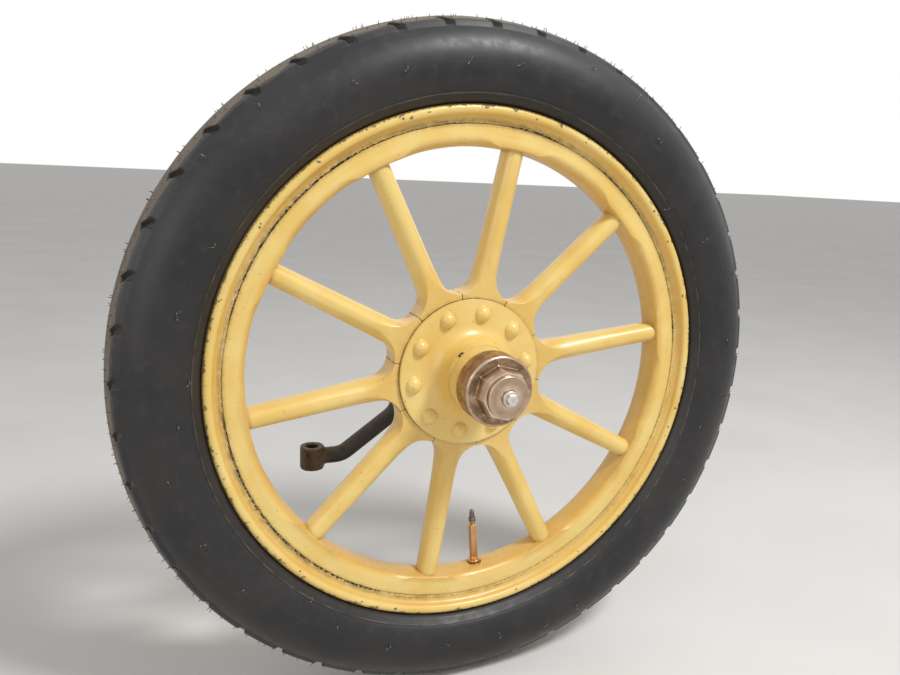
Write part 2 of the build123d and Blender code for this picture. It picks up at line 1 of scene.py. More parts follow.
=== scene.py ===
# %% [markdown]
# # Front wheel of an antique taxi
# The wheel has ten wooden spokes, a wooden felloe, a steel clincher rim, a beaded-edge tyre and a
# bronze hub cap, and it turns on a stub axle with a steering arm. Each step below first says what
# the piece or finish is on the real wheel, how it could be made, and why this way was chosen.
#
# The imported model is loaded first. It is the fixed frame: every new piece is built in the same
# place, in metres, and stands for one of its nodes or rides beside it.

# %% Load the frame
from math import asin, atan2, cos, pi, radians, sin, sqrt, tan

import bmesh
import bpy
import numpy as np
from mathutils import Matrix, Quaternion, Vector


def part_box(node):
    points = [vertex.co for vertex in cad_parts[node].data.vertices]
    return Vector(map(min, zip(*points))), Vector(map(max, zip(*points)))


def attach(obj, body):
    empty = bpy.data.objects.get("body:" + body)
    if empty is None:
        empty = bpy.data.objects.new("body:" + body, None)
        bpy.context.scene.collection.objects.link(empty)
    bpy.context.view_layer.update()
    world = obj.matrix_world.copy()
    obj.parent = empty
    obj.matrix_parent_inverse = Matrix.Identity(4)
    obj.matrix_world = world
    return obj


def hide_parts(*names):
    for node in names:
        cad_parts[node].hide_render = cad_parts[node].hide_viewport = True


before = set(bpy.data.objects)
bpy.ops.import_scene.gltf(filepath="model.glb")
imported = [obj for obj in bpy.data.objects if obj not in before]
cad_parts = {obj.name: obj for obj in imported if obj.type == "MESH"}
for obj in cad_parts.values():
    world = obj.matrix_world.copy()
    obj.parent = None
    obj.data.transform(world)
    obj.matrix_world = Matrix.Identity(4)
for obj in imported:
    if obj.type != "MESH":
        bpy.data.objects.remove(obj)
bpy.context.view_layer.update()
print("nodes in the frame:", len(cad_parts))

# %% [markdown]
# ## Measures
# A wheelwright thinks of a wheel as radius, angle and offset, where the offset is the distance
# outboard of the wheel's middle plane. All sizes below are in millimetres in that form, and one
# function turns them to points in metres. The tyre's size and the wheel's middle come from the frame.

# %% Driving measures
MM = 0.001
TYRE_LOW, TYRE_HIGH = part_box("tyre")
TYRE_R = TYRE_HIGH.z / MM
TYRE_HALF_WIDTH = (TYRE_HIGH.y - TYRE_LOW.y) / 2 / MM
WHEEL_Y = (TYRE_HIGH.y + TYRE_LOW.y) / 2 / MM
SEAT_R = 293.0
ROLL_CENTRE_R, ROLL_CENTRE_OFFSET, ROLL_R = 308.0, 29.4, 6.0
FELLOE_INNER_R, FELLOE_OUTER_R, FELLOE_HALF_WIDTH = 268.0, 292.8, 24.6
SPOKE_COUNT, FIRST_SPOKE = 10, radians(8.67)
FLANGE_R, FLANGE_FRONT, FLANGE_BACK = 91.0, 17.9, 13.9
NOSE_STEP_OFFSET, CAP_BACK = 48.7, 72.0
VALVE_ANGLE = radians(275.7)
print(f"tyre radius {TYRE_R:.1f} mm, half width {TYRE_HALF_WIDTH:.1f} mm, middle at y {WHEEL_Y:.1f} mm")

# %% [markdown]
# ## Turned shapes
# Most of this wheel is turned, rolled or bent round a centre, so its surfaces are grids of points:
# rows follow the section and columns go round. A grid gives even, smooth faces, which a Boolean
# or a bevelled cylinder doesn't. `Lathe` holds the axis, and `skin` closes a grid into a mesh.

# %% Lathe
class Lathe:
    """An axis to turn shapes about: a foot point in mm, its direction, and where angle 0 points."""

    def __init__(self, foot, along, across):
        self.foot = np.array(foot, float)
        self.along = np.array(along, float)
        self.across = np.array(across, float)
        self.third = np.cross(self.along, self.across)

    def points(self, radius, angle, height):
        radius, angle, height = np.broadcast_arrays(radius, angle, height)
        spread = np.cos(angle)[..., None] * self.across + np.sin(angle)[..., None] * self.third
        return MM * (self.foot + height[..., None] * self.along + radius[..., None] * spread)


SPINDLE = Lathe((0, WHEEL_Y, 0), (0, -1, 0), (1, 0, 0))


def turn_angles(count):
    return np.arange(count) * 2 * pi / count


print("the spindle runs through", SPINDLE.points(0, 0, 0), "and outboard along", SPINDLE.along)


# %% Lines of a section
def rounded(corners, steps=5):
    """A line through (radius, offset, rounding) corners in mm, each rounded by an arc."""
    places = [np.array(corner[:2], float) for corner in corners]
    line = []
    for number, (place, corner) in enumerate(zip(places, corners)):
        if corner[2] == 0:
            line.append(place)
            continue
        back = places[number - 1] - place
        ahead = places[(number + 1) % len(places)] - place
        back_length, ahead_length = np.linalg.norm(back), np.linalg.norm(ahead)
        back, ahead = back / back_length, ahead / ahead_length
        half = np.arccos(np.clip(back @ ahead, -1, 1)) / 2
        cut = min(corner[2] / tan(half), 0.49 * back_length, 0.49 * ahead_length)
        radius = cut * tan(half)
        middle = place + (back + ahead) / np.linalg.norm(back + ahead) * radius / sin(half)
        start, end = place + back * cut - middle, place + ahead * cut - middle
        whole = pi - 2 * half
        for step in range(steps + 1):
            share = step / steps
            mixed = start * sin((1 - share) * whole) + end * sin(share * whole)
            line.append(middle + mixed / sin(whole))
    return np.array(line)


def arc(centre, radius, start, end, steps):
    """Points of an arc in the section plane, from start to end degrees."""
    turn = np.radians(np.linspace(start, end, steps + 1))
    return np.stack([centre[0] + radius * np.cos(turn), centre[1] + radius * np.sin(turn)], -1)


# %% Skin over a grid
def add_object(name, data):
    """A new object in the scene, at the origin and unturned."""
    made = bpy.data.objects.new(name, data)
    bpy.context.scene.collection.objects.link(made)
    return made


def skin(name, grid, loop=False, sharp=32):
    """A closed mesh over a grid [row][column][xyz]. Columns wrap round, and rows too with loop."""
    rows, columns = grid.shape[:2]
    index = np.arange(rows * columns).reshape(rows, columns)
    beside = np.roll(index, -1, axis=1)
    here, there = index[:-1], index[1:]
    here_beside, there_beside = beside[:-1], beside[1:]
    if loop:
        here, there = index, np.roll(index, -1, axis=0)
        here_beside, there_beside = beside, np.roll(beside, -1, axis=0)
    faces = np.stack([here, here_beside, there_beside, there], -1).reshape(-1, 4).tolist()
    points = grid.reshape(-1, 3).tolist()
    if not loop:
        for row, order in ((0, 1), (rows - 1, -1)):
            points.append(grid[row].mean(0).tolist())
            ring = zip(index[row], beside[row])
            faces += [[len(points) - 1, *pair[::order]] for pair in ring]
    mesh = bpy.data.meshes.new(name)
    mesh.from_pydata(points, [], faces)
    piece = add_object(name, mesh)
    smooth_outside(piece, sharp)
    return piece


def smooth_outside(piece, sharp):
    """Turns all faces outwards and shades them smooth, apart from edges over the sharp angle."""
    work = bmesh.new()
    work.from_mesh(piece.data)
    bmesh.ops.recalc_face_normals(work, faces=work.faces)
    work.to_mesh(piece.data)
    work.free()
    piece.data.shade_smooth()
    piece.data.set_sharp_from_angle(angle=radians(sharp))


def turned(name, line, columns, loop=False, lathe=SPINDLE, sharp=32):
    """A section line of (radius, offset) points, turned about a lathe's axis."""
    grid = lathe.points(line[:, None, 0], turn_angles(columns)[None, :], line[:, None, 1])
    return skin(name, grid, loop, sharp)


# %% Small helpers for every piece
def smoothstep(value, low, high):
    """0 below low, 1 above high, and a smooth run between them."""
    share = np.clip((value - low) / (high - low), 0, 1)
    return share * share * (3 - 2 * share)


def report(piece):
    print(f"{piece.name}: {sum(len(f.vertices) - 2 for f in piece.data.polygons)} triangles")


def coat(piece, material):
    """Gives a piece its one material and says how large its mesh is."""
    piece.data.materials.clear()
    piece.data.materials.append(material)
    report(piece)


# %% [markdown]
# ## Nodes without clutter
# Shaders and Geometry Nodes are both trees of sockets. `Bench` adds one node, sets the inputs that
# are plain values and links those that are sockets, and the sums on masks have short names, so that
# a material below reads as a short recipe.

# %% Node bench
class Bench:
    """A node tree under work, with short names for the nodes that the recipes use most."""

    def __init__(self, tree):
        self.tree = tree

    def feed(self, sockets, values):
        """Links each named socket to the socket given for it, or sets its plain value."""
        for key, value in values.items():
            if isinstance(value, bpy.types.NodeSocket):
                self.tree.links.new(value, sockets[key])
            else:
                sockets[key].default_value = value

    def put(self, kind, inputs=None, **settings):
        """Adds a node with its inputs by name or number, and its settings by name."""
        made = self.tree.nodes.new(kind)
        for key, value in settings.items():
            setattr(made, key, value)
        self.feed(made.inputs, inputs or {})
        return made

    def group(self, tree, inputs=None):
        """A node group, placed in this tree. It gives the group's outputs."""
        kind = self.tree.bl_idname.replace("Tree", "Group")
        return self.put(kind, inputs, node_tree=tree).outputs

    def attribute(self, name):
        return self.put("ShaderNodeAttribute", attribute_name=name).outputs

    def math(self, operation, *values):
        inputs = dict(enumerate(values))
        return self.put("ShaderNodeMath", inputs, operation=operation).outputs[0]

    def times(self, one, other):
        return self.math("MULTIPLY", one, other)

    def plus(self, one, other):
        return self.math("ADD", one, other)

    def minus(self, one, other):
        return self.math("SUBTRACT", one, other)

    def most(self, *values):
        """The largest of the values."""
        largest = values[0]
        for value in values[1:]:
            largest = self.math("MAXIMUM", largest, value)
        return largest

    def swing(self, noise, width):
        """A noise of 0 to 1, turned into a way to and fro, width across."""
        return self.times(self.minus(noise, 0.5), width)

    def ease(self, value, low, high, to_low=0.0, to_high=1.0):
        """Runs smoothly from to_low to to_high as value goes from low to high."""
        inputs = {"Value": value, "From Min": low, "From Max": high, "To Min": to_low, "To Max": to_high}
        return self.put("ShaderNodeMapRange", inputs, interpolation_type="SMOOTHSTEP").outputs[0]

    def band(self, value, middle, half, edge):
        """1 within half of the middle, and 0 past half plus edge."""
        away = self.math("ABSOLUTE", self.minus(value, middle))
        return self.ease(away, half, self.plus(half, edge), 1.0, 0.0)

    def tint(self, mask, under, over):
        """Colour under, covered by colour over where the mask is 1."""
        inputs = {0: mask, 6: under, 7: over}
        return self.put("ShaderNodeMix", inputs, data_type="RGBA", clamp_factor=True).outputs[2]

    def noise(self, vector, scale, detail=3.0, roughness=0.5, w=None):
        inputs = {"Vector": vector, "Scale": scale, "Detail": detail, "Roughness": roughness}
        if w is not None:
            inputs["W"] = w
        kind = "3D" if w is None else "4D"
        return self.put("ShaderNodeTexNoise", inputs, noise_dimensions=kind).outputs["Fac"]


# %% Colours and shader groups
def tone(red, green, blue):
    """A colour as it is read from a paint card, 0 to 255, as the linear values that Blender takes."""
    shares = [channel / 255 for channel in (red, green, blue)]
    linear = [s / 12.92 if s <= 0.04045 else ((s + 0.055) / 1.055) ** 2.4 for s in shares]
    return (*linear, 1.0)


def shader_group(name, inputs, outputs):
    """A shader node group with named sockets, and the bench, inputs and output node to fill it."""
    tree = bpy.data.node_groups.new(name, "ShaderNodeTree")
    for label, kind, value in inputs:
        socket = tree.interface.new_socket(label, in_out="INPUT", socket_type=kind)
        if value is not None:
            socket.default_value = value
    for label, kind in outputs:
        tree.interface.new_socket(label, in_out="OUTPUT", socket_type=kind)
    bench = Bench(tree)
    return tree, bench, bench.put("NodeGroupInput").outputs, bench.put("NodeGroupOutput").inputs


FLOAT, VECTOR, COLOUR = "NodeSocketFloat", "NodeSocketVector", "NodeSocketColor"

# %% [markdown]
# ## Where a point is on the wheel
# Paint, dirt and wear on a wheel follow rings: the seam beside the felloe, the edge of the flange,
# the worn band of the tread. One group gives each material the radius and the offset of a point in
# millimetres, worked out from Object coordinates. It also gives `Around`, a vector that is squeezed
# along the ring, so that a noise laid on it draws streaks that run round, as a brush or a lathe does.

# %% Wheel Place group
AROUND_SQUEEZE = 14.0
wheel_place, bench, _, out = shader_group(
    "Wheel Place",
    [],
    [("Radius", FLOAT), ("Offset", FLOAT), ("Around", VECTOR), ("Millimetres", VECTOR)],
)
spot = bench.put("ShaderNodeTexCoord").outputs["Object"]
in_mm = bench.put("ShaderNodeVectorMath", {0: spot, 3: 1 / MM}, operation="SCALE").outputs[0]
axes = bench.put("ShaderNodeSeparateXYZ", {0: in_mm}).outputs
flat = bench.put("ShaderNodeCombineXYZ", {"X": axes["X"], "Z": axes["Z"]}).outputs[0]
radius = bench.put("ShaderNodeVectorMath", {0: flat}, operation="LENGTH").outputs["Value"]
heading = bench.put("ShaderNodeVectorMath", {0: flat}, operation="NORMALIZE").outputs[0]
turn = bench.put("ShaderNodeSeparateXYZ", {0: heading}).outputs
reach = SEAT_R / AROUND_SQUEEZE
around = {"X": bench.times(turn["X"], reach), "Y": bench.times(turn["Z"], reach), "Z": radius}
around = bench.put("ShaderNodeCombineXYZ", around).outputs[0]
offset = bench.minus(WHEEL_Y, axes["Y"])
bench.feed(out, {"Radius": radius, "Offset": offset, "Around": around, "Millimetres": in_mm})
print("group:", wheel_place.name)

# %% [markdown]
# ## Old brushed paint
# Rim, felloe, spokes and hub carry the same cream-yellow coach paint. It was brushed on in thick coats,
# so it has faint streaks along the work, brown dirt creeps out of every seam, and stones have chipped it
# to the dark undercoat. Hollows get a warm ochre, which is painted shade, and some of the dark lines are
# painted shade too. All of that could be painted by hand on an image. A node group does it from masks
# instead, because it holds at any distance and each piece can say where its own hollows and seams are.

# %% Paint colours
CREAM, PALE_CREAM = tone(232, 196, 108), tone(238, 210, 130)
# The ochre is painted shade, laid in hollows.
SHADE_OCHRE, STREAK = tone(208, 152, 54), tone(204, 158, 76)
# The brown gap tone is dirt in real cracks, and painted shade in the lines laid at steps and gaps.
DIRT, GAP_DIRT_AND_SHADE, DEEP_GAP = tone(112, 80, 46), tone(66, 46, 28), tone(14, 11, 9)
UNDERCOAT, BARE_STEEL, CHALK = tone(44, 38, 34), tone(104, 108, 114), tone(228, 216, 204)
print("cream as Blender takes it:", [round(channel, 3) for channel in CREAM])

# %% Coach Paint group
coach_paint, bench, given, out = shader_group(
    "Coach Paint",
    [
        ("Grain", VECTOR, None),
        ("Grain W", FLOAT, 0.0),
        ("Millimetres", VECTOR, None),
        ("Hollow Shade", FLOAT, 0.0),
        ("Dirt", FLOAT, 0.0),
        ("Dark Marks", FLOAT, 0.0),
        ("Flakes", FLOAT, 0.0),
        ("Chips", FLOAT, 0.0),
        ("Streaks", FLOAT, 0.3),
    ],
    [("Colour", COLOUR), ("Roughness", FLOAT), ("Height", FLOAT)],
)
cloud = bench.noise(given["Millimetres"], 0.016, 3)
fine_cloud = bench.noise(given["Millimetres"], 0.11, 4, 0.6)
streak = bench.noise(given["Grain"], 0.42, 4, 0.6, given["Grain W"])
colour = bench.tint(bench.ease(cloud, 0.35, 0.7), CREAM, PALE_CREAM)
# Hollows are tinted ochre: painted shade.
hollow_shade = bench.times(given["Hollow Shade"], bench.ease(fine_cloud, 0.2, 0.8, 0.7, 1.0))
colour = bench.tint(hollow_shade, colour, SHADE_OCHRE)
streak_mask = bench.times(bench.ease(streak, 0.52, 0.75), given["Streaks"])
colour = bench.tint(streak_mask, colour, STREAK)
grime = bench.times(given["Dirt"], bench.ease(fine_cloud, 0.3, 0.62, 0.25, 1.0))
colour = bench.tint(grime, colour, DIRT)
speck = bench.noise(given["Millimetres"], 0.35, 2, 0.4)
speck_mask = bench.times(bench.ease(speck, 0.76, 0.8), 0.55)
colour = bench.tint(speck_mask, colour, DIRT)
chip_cells = {"Vector": given["Millimetres"], "Scale": 0.12, "Randomness": 1.0}
cell = bench.put("ShaderNodeTexVoronoi", chip_cells).outputs
ragged = bench.noise(given["Millimetres"], 0.5, 3, 0.7)
lot = bench.put("ShaderNodeSeparateColor", {0: cell["Color"]}).outputs
chip_size = bench.times(bench.ease(lot["Red"], 0.3, 0.95, 0.0, 0.24), given["Chips"])
chip_reach = bench.times(chip_size, bench.ease(ragged, 0.3, 0.7, 0.3, 1.5))
chip = bench.math("LESS_THAN", cell["Distance"], chip_reach)
colour = bench.tint(bench.times(chip, 0.9), colour, UNDERCOAT)
bare = bench.math("LESS_THAN", cell["Distance"], bench.minus(chip_reach, 0.09))
colour = bench.tint(bare, colour, BARE_STEEL)
colour = bench.tint(given["Flakes"], colour, CHALK)
# Dark marks: real cracks and chips, and also painted shade lines. Brown where faint, black where strong.
depth_of_gap = bench.tint(bench.ease(given["Dark Marks"], 0.55, 1.0), GAP_DIRT_AND_SHADE, DEEP_GAP)
colour = bench.tint(given["Dark Marks"], colour, depth_of_gap)
rough = bench.plus(bench.ease(fine_cloud, 0.3, 0.7, 0.3, 0.42), bench.times(grime, 0.3))
rough = bench.most(rough, bench.times(given["Dark Marks"], 0.9))
brushed = bench.swing(streak, 0.12)
pits = bench.swing(fine_cloud, 0.16)
height = bench.plus(brushed, pits)
height = bench.minus(height, bench.times(chip, 0.25))
height = bench.minus(height, bench.times(given["Dark Marks"], 0.8))
bench.feed(out, {"Colour": colour, "Roughness": rough, "Height": height})
print("group:", coach_paint.name)


# %% Materials share one way to end
def finish_material(name, recipe, bump=0.5, **sockets):
    """A material whose recipe gives colour, roughness and height in mm, on a Principled shader."""
    material = bpy.data.materials.new(name)
    material.use_nodes = True
    material.node_tree.nodes.clear()
    work = Bench(material.node_tree)
    shader = work.put("ShaderNodeBsdfPrincipled")
    work.feed(shader.inputs, {label.replace("_", " "): value for label, value in sockets.items()})
    looks = recipe(work)
    if "Height" in looks:
        relief = {"Height": looks.pop("Height"), "Strength": bump, "Distance": MM}
        looks["Normal"] = work.put("ShaderNodeBump", relief).outputs[0]
    work.feed(shader.inputs, looks)
    work.put("ShaderNodeOutputMaterial", {"Surface": shader.outputs[0]})
    print("material:", name, "with", len(work.tree.nodes), "nodes")
    return material


def looks_of(made):
    """What a recipe gives, taken from the outputs of a paint or metal group."""
    return {"Base Color": made["Colour"], "Roughness": made["Roughness"], "Height": made["Height"]}


def painted(work, place, masks):
    """The coach paint on one piece, with the masks that the piece gives."""
    laid_on = {"Millimetres": place["Millimetres"], "Grain": place["Around"], "Grain W": place["Offset"]}
    return looks_of(work.group(coach_paint, {**laid_on, **masks}))


# %% [markdown]
# ## The seam between steel and wood
# Where the rim sits on the felloe the paint has cracked off. The gap is wide and black in some
# stretches and a brown hairline in others, with a second fine crack beside it, loose pale flakes
# and a brown stain. Rim and felloe both show their half, so one group draws it for both of them.

# %% Rim Seam group
SEAM_R, SECOND_CRACK_R, FLAKES_R = 293.5, 295.8, 294.6
# Across and up: the seam has suffered most at the wheel's upper left
WORST_WAY = (-0.87, 0.5, 0.0)
rim_seam, bench, given, out = shader_group(
    "Rim Seam",
    [("Radius", FLOAT, 0.0), ("Around", VECTOR, None), ("Millimetres", VECTOR, None)],
    [("Dark Marks", FLOAT), ("Flakes", FLOAT), ("Stain", FLOAT)],
)
worst_side = {0: given["Around"], 1: WORST_WAY}
worst_side = bench.put("ShaderNodeVectorMath", worst_side, operation="DOT_PRODUCT").outputs["Value"]
worst_side = bench.times(worst_side, AROUND_SQUEEZE / SEAT_R)
slow = bench.plus(bench.noise(given["Around"], 0.13, 2, 0.5), bench.times(worst_side, 0.16))
broken = bench.noise(given["Around"], 0.75, 3, 0.6)
fine = bench.noise(given["Millimetres"], 0.3, 4, 0.65)
loose = bench.noise(given["Millimetres"], 0.42, 3, 0.6)
radius = bench.plus(given["Radius"], bench.swing(fine, 2.0))
gap_width = bench.ease(slow, 0.48, 0.68, 0.12, 1.0)
gap_depth = bench.ease(slow, 0.44, 0.56, 0.6, 1.0)
crumbled = bench.most(bench.ease(loose, 0.44, 0.52, 0.1, 1.0), bench.ease(slow, 0.68, 0.74))
gap_here = bench.times(bench.times(bench.ease(broken, 0.32, 0.42), gap_depth), crumbled)
gap = bench.times(bench.band(radius, SEAM_R, gap_width, 0.45), gap_here)
second = bench.times(bench.band(radius, SECOND_CRACK_R, 0.1, 0.35), bench.ease(broken, 0.5, 0.58))
crack = bench.most(gap, bench.times(second, 0.75))
flakes = bench.times(bench.band(given["Radius"], FLAKES_R, 1.5, 1.4), bench.ease(loose, 0.56, 0.59))
flakes = bench.times(flakes, bench.ease(worst_side, 0.9, 0.96))
flakes = bench.times(flakes, bench.ease(broken, 0.46, 0.52))
stain = bench.times(bench.band(radius, SEAM_R + 0.8, 1.2, 5.5), bench.ease(slow, 0.3, 0.6, 0.2, 0.75))
bench.feed(out, {"Dark Marks": crack, "Flakes": flakes, "Stain": stain})
print("group:", rim_seam.name)


def seam_of(work, place):
    labels = ("Radius", "Around", "Millimetres")
    return work.group(rim_seam, {label: place[label] for label in labels})


# %% [markdown]
# ## Finishes of the painted pieces
# Each piece marks its own places. The rim has painted shade, in ochre, in its hollow and is chipped on
# its roll, whose edge is grimy and has lost patches of paint where the tyre rubs. The felloe has painted
# shade at its inner corner, the spokes more of it towards the hub, and the hub round its big fillet. A
# dark line of painted shadow runs round the foot of the flange, a faint line of painted shade marks the
# nose's step, and the mitres between the spoke feet are cracked, strongest at the flange.


# %% Paint on the rim
HOLLOW_R, ROLL_EDGE_R = 299.5, 313.0


def rim_recipe(work):
    place = work.group(wheel_place)
    radius = place["Radius"]
    side = work.math("ABSOLUTE", place["Offset"])
    # The hollow of the rim's flank gets painted shade.
    hollow_shade = work.times(work.band(radius, HOLLOW_R, 1.5, 4.5), work.ease(side, 24.0, 26.0))
    seam = seam_of(work, place)
    grit = work.noise(place["Millimetres"], 0.6, 3, 0.7)
    rubbed = work.plus(radius, work.swing(grit, 7.0))
    grime = work.times(work.ease(rubbed, ROLL_EDGE_R - 1.4, ROLL_EDGE_R), 0.75)
    patch = work.noise(place["Millimetres"], 0.075, 5, 0.7)
    worn_to = work.plus(radius, work.swing(patch, 40.0))
    worn_off = work.ease(worn_to, ROLL_EDGE_R - 0.2, ROLL_EDGE_R + 0.6, 0.0, 0.75)
    masks = {
        "Hollow Shade": work.times(hollow_shade, 0.5),
        "Dirt": work.times(seam["Stain"], 0.7),
        "Dark Marks": work.most(grime, worn_off, seam["Dark Marks"]),
        "Flakes": seam["Flakes"],
        "Chips": work.ease(radius, 303.0, 306.0),
        "Streaks": 0.15,
    }
    return painted(work, place, masks)


rim_paint = finish_material("rim_coach_paint", rim_recipe, Coat_Weight=0.15, Coat_Roughness=0.2)


# %% Paint on the felloe
def felloe_recipe(work):
    place = work.group(wheel_place)
    radius = place["Radius"]
    side = work.math("ABSOLUTE", place["Offset"])
    on_side = work.ease(side, FELLOE_HALF_WIDTH - 1.6, FELLOE_HALF_WIDTH - 0.6)
    seam = seam_of(work, place)
    # The inner corner is tinted ochre: painted shade where the corner turns away from the light.
    inner_corner_shade = work.times(work.ease(radius, FELLOE_INNER_R + 11.0, FELLOE_INNER_R + 0.5), 0.65)
    speck = work.noise(place["Millimetres"], 0.5, 3, 0.7)
    near_seam = work.times(work.ease(radius, SEAT_R - 11.0, SEAT_R - 1.0), on_side)
    specks = work.times(near_seam, work.ease(speck, 0.6, 0.66))
    dirt = work.most(work.times(seam["Stain"], 0.7), work.times(specks, 0.6))
    masks = {
        "Hollow Shade": inner_corner_shade,
        "Dirt": work.times(dirt, on_side),
        "Dark Marks": work.times(seam["Dark Marks"], on_side),
        "Chips": 0.3,
        "Streaks": 0.25,
    }
    return painted(work, place, masks)


felloe_paint = finish_material("felloe_coach_paint", felloe_recipe, Coat_Weight=0.2, Coat_Roughness=0.25)


# %% Paint on the spokes
def spoke_recipe(work):
    place = work.group(wheel_place)
    radius = place["Radius"]
    mitre = work.attribute("mitre")["Fac"]
    foot_dirt = work.ease(radius, FLANGE_R + 6.0, FLANGE_R, 0.0, 0.25)
    tip_dirt = work.ease(radius, FELLOE_INNER_R - 5.0, FELLOE_INNER_R, 0.0, 0.4)
    broken = work.noise(place["Millimetres"], 0.12, 3, 0.6)
    crack = work.times(work.ease(mitre, 0.55, 0.9), work.ease(broken, 0.38, 0.55, 0.25, 0.8))
    dot = work.times(work.ease(mitre, 0.2, 0.5), work.band(radius, FLANGE_R + 0.8, 0.6, 0.5))
    # A dark line at the flange's edge: painted shadow of the flange on the spoke feet.
    at_flange = work.band(radius, FLANGE_R + 0.1, 0.2, 0.35)
    flange_shadow_line = work.times(at_flange, work.ease(broken, 0.35, 0.55, 0.35, 0.85))
    masks = {
        "Grain": work.attribute("grain")["Vector"],
        "Grain W": work.times(work.attribute("copy")["Fac"], 7.3),
        # The spokes grow ochre towards the hub: painted shade between the close spoke feet.
        "Hollow Shade": work.ease(radius, 150.0, 100.0, 0.1, 0.35),
        "Dirt": work.most(foot_dirt, tip_dirt),
        "Dark Marks": work.most(crack, dot, flange_shadow_line),
        "Chips": 0.3,
        "Streaks": 0.35,
    }
    return painted(work, place, masks)


spoke_paint = finish_material("spoke_coach_paint", spoke_recipe, Coat_Weight=0.25, Coat_Roughness=0.2)


# %% Paint on the hub, with the one chip that stands out on its nose
CHIP_R, CHIP_OFFSET, CHIP_ENDS = 42.0, 47.6, (radians(128.4), radians(133.6))


def hub_recipe(work):
    place = work.group(wheel_place)
    radius, offset = place["Radius"], place["Offset"]
    broken = work.noise(place["Around"], 1.4, 3, 0.6)
    # A dark line round the flange's foot: painted shadow in the gap between flange and spoke feet.
    at_foot = work.ease(offset, FLANGE_BACK + 1.1, FLANGE_BACK + 0.5)
    at_foot = work.times(at_foot, work.ease(radius, FLANGE_R - 1.0, FLANGE_R - 0.4))
    foot_shadow_line = work.times(at_foot, work.ease(broken, 0.35, 0.55, 0.4, 1.0))
    on_nose = work.times(work.ease(radius, 46.0, 43.0), work.ease(broken, 0.45, 0.6, 0.1, 0.3))
    # A faint dark line at the nose's step: painted shade in the step.
    step_shade_line = work.times(work.band(offset, NOSE_STEP_OFFSET, 0.25, 0.3), on_nose)
    to_ends = []
    for angle in CHIP_ENDS:
        ends = {0: place["Millimetres"], 1: tuple(SPINDLE.points(CHIP_R, angle, CHIP_OFFSET) / MM)}
        to_end = work.put("ShaderNodeVectorMath", ends, operation="DISTANCE")
        to_ends.append(to_end.outputs["Value"])
    ragged = work.times(work.noise(place["Millimetres"], 0.7, 3, 0.7), 6.0)
    nose_chip = work.ease(work.plus(work.math("MINIMUM", *to_ends), ragged), 5.2, 4.9)
    edge_dirt = work.ease(radius, FLANGE_R - 2.5, FLANGE_R, 0.0, 0.25)
    nose_dirt = work.times(work.ease(offset, CAP_BACK - 6.0, CAP_BACK), 0.35)
    masks = {
        # Round the big fillet the paint is tinted ochre: painted shade.
        "Hollow Shade": work.times(work.band(radius, 52.0, 5.0, 12.0), 0.2),
        "Dirt": work.most(edge_dirt, nose_dirt),
        "Dark Marks": work.most(foot_shadow_line, step_shade_line, nose_chip),
        "Chips": 0.35,
        "Streaks": 0.15,
    }
    return painted(work, place, masks)


hub_paint = finish_material("hub_coach_paint", hub_recipe, Coat_Weight=0.3, Coat_Roughness=0.18)

# %% [markdown]
# ## Bare metal that has been handled
# The hub cap is turned bronze that has gone brown, with bright metal along its edges, partly where hands
# and spanners rub them and partly painted highlight. The plug is polished steel, the valve is old brass.
# They share two things: fine rings from the lathe, and bright edges that are wear and painted highlight
# together. The bright edges need to know where the edges are, so they read an attribute that is worked
# out from how sharply the mesh folds at each point.

# %% Edge attribute
EDGE_FOLD, SPREAD_PASSES, SPREAD_SHARE = 25.0, 2, 0.6


def store(mesh, name, values, kind="FLOAT"):
    """Stores a value, or a vector, at each point of a mesh as a named attribute."""
    field = "vector" if kind == "FLOAT_VECTOR" else "value"
    attribute = mesh.attributes.new(name, kind, "POINT")
    attribute.data.foreach_set(field, np.asarray(values, np.float32).ravel())


def mark_edges(piece, passes=SPREAD_PASSES):
    """Stores how far each point lies on an outer edge, 0 to 1, as the attribute edge."""
    work = bmesh.new()
    work.from_mesh(piece.data)
    fold = np.zeros(len(work.verts))
    for line in work.edges:
        if len(line.link_faces) == 2 and line.is_convex:
            angle = line.calc_face_angle(0.0)
            for end in line.verts:
                fold[end.index] = max(fold[end.index], angle)
    pairs = np.array([[end.index for end in line.verts] for line in work.edges])
    work.free()
    value = np.clip(fold / radians(EDGE_FOLD), 0, 1)
    for _ in range(passes):
        spread = value.copy()
        np.maximum.at(spread, pairs[:, 0], SPREAD_SHARE * value[pairs[:, 1]])
        np.maximum.at(spread, pairs[:, 1], SPREAD_SHARE * value[pairs[:, 0]])
        value = spread
    store(piece.data, "edge", value)


# %% Worn Metal group
worn_metal, bench, given, out = shader_group(
    "Worn Metal",
    [
        ("Grain", VECTOR, None),
        ("Grain W", FLOAT, 0.0),
        ("Millimetres", VECTOR, None),
        ("Metal", COLOUR, (0.5, 0.4, 0.3, 1)),
        ("Tarnish", COLOUR, (0.2, 0.15, 0.1, 1)),
        ("Bright", COLOUR, (0.8, 0.75, 0.7, 1)),
        ("Tarnish Amount", FLOAT, 0.5),
        ("Edge Wear And Highlight", FLOAT, 1.0),
    ],
    [("Colour", COLOUR), ("Roughness", FLOAT), ("Height", FLOAT)],
)
patch = bench.noise(given["Millimetres"], 0.09, 4, 0.6)
rings = bench.noise(given["Grain"], 2.2, 3, 0.6, given["Grain W"])
scuff = bench.noise(given["Millimetres"], 0.55, 3, 0.6)
edge = bench.attribute("edge")["Fac"]
covered = bench.times(bench.ease(patch, 0.3, 0.65), given["Tarnish Amount"])
colour = bench.tint(covered, given["Metal"], given["Tarnish"])
colour = bench.tint(bench.times(bench.ease(rings, 0.5, 0.7), 0.2), colour, given["Tarnish"])
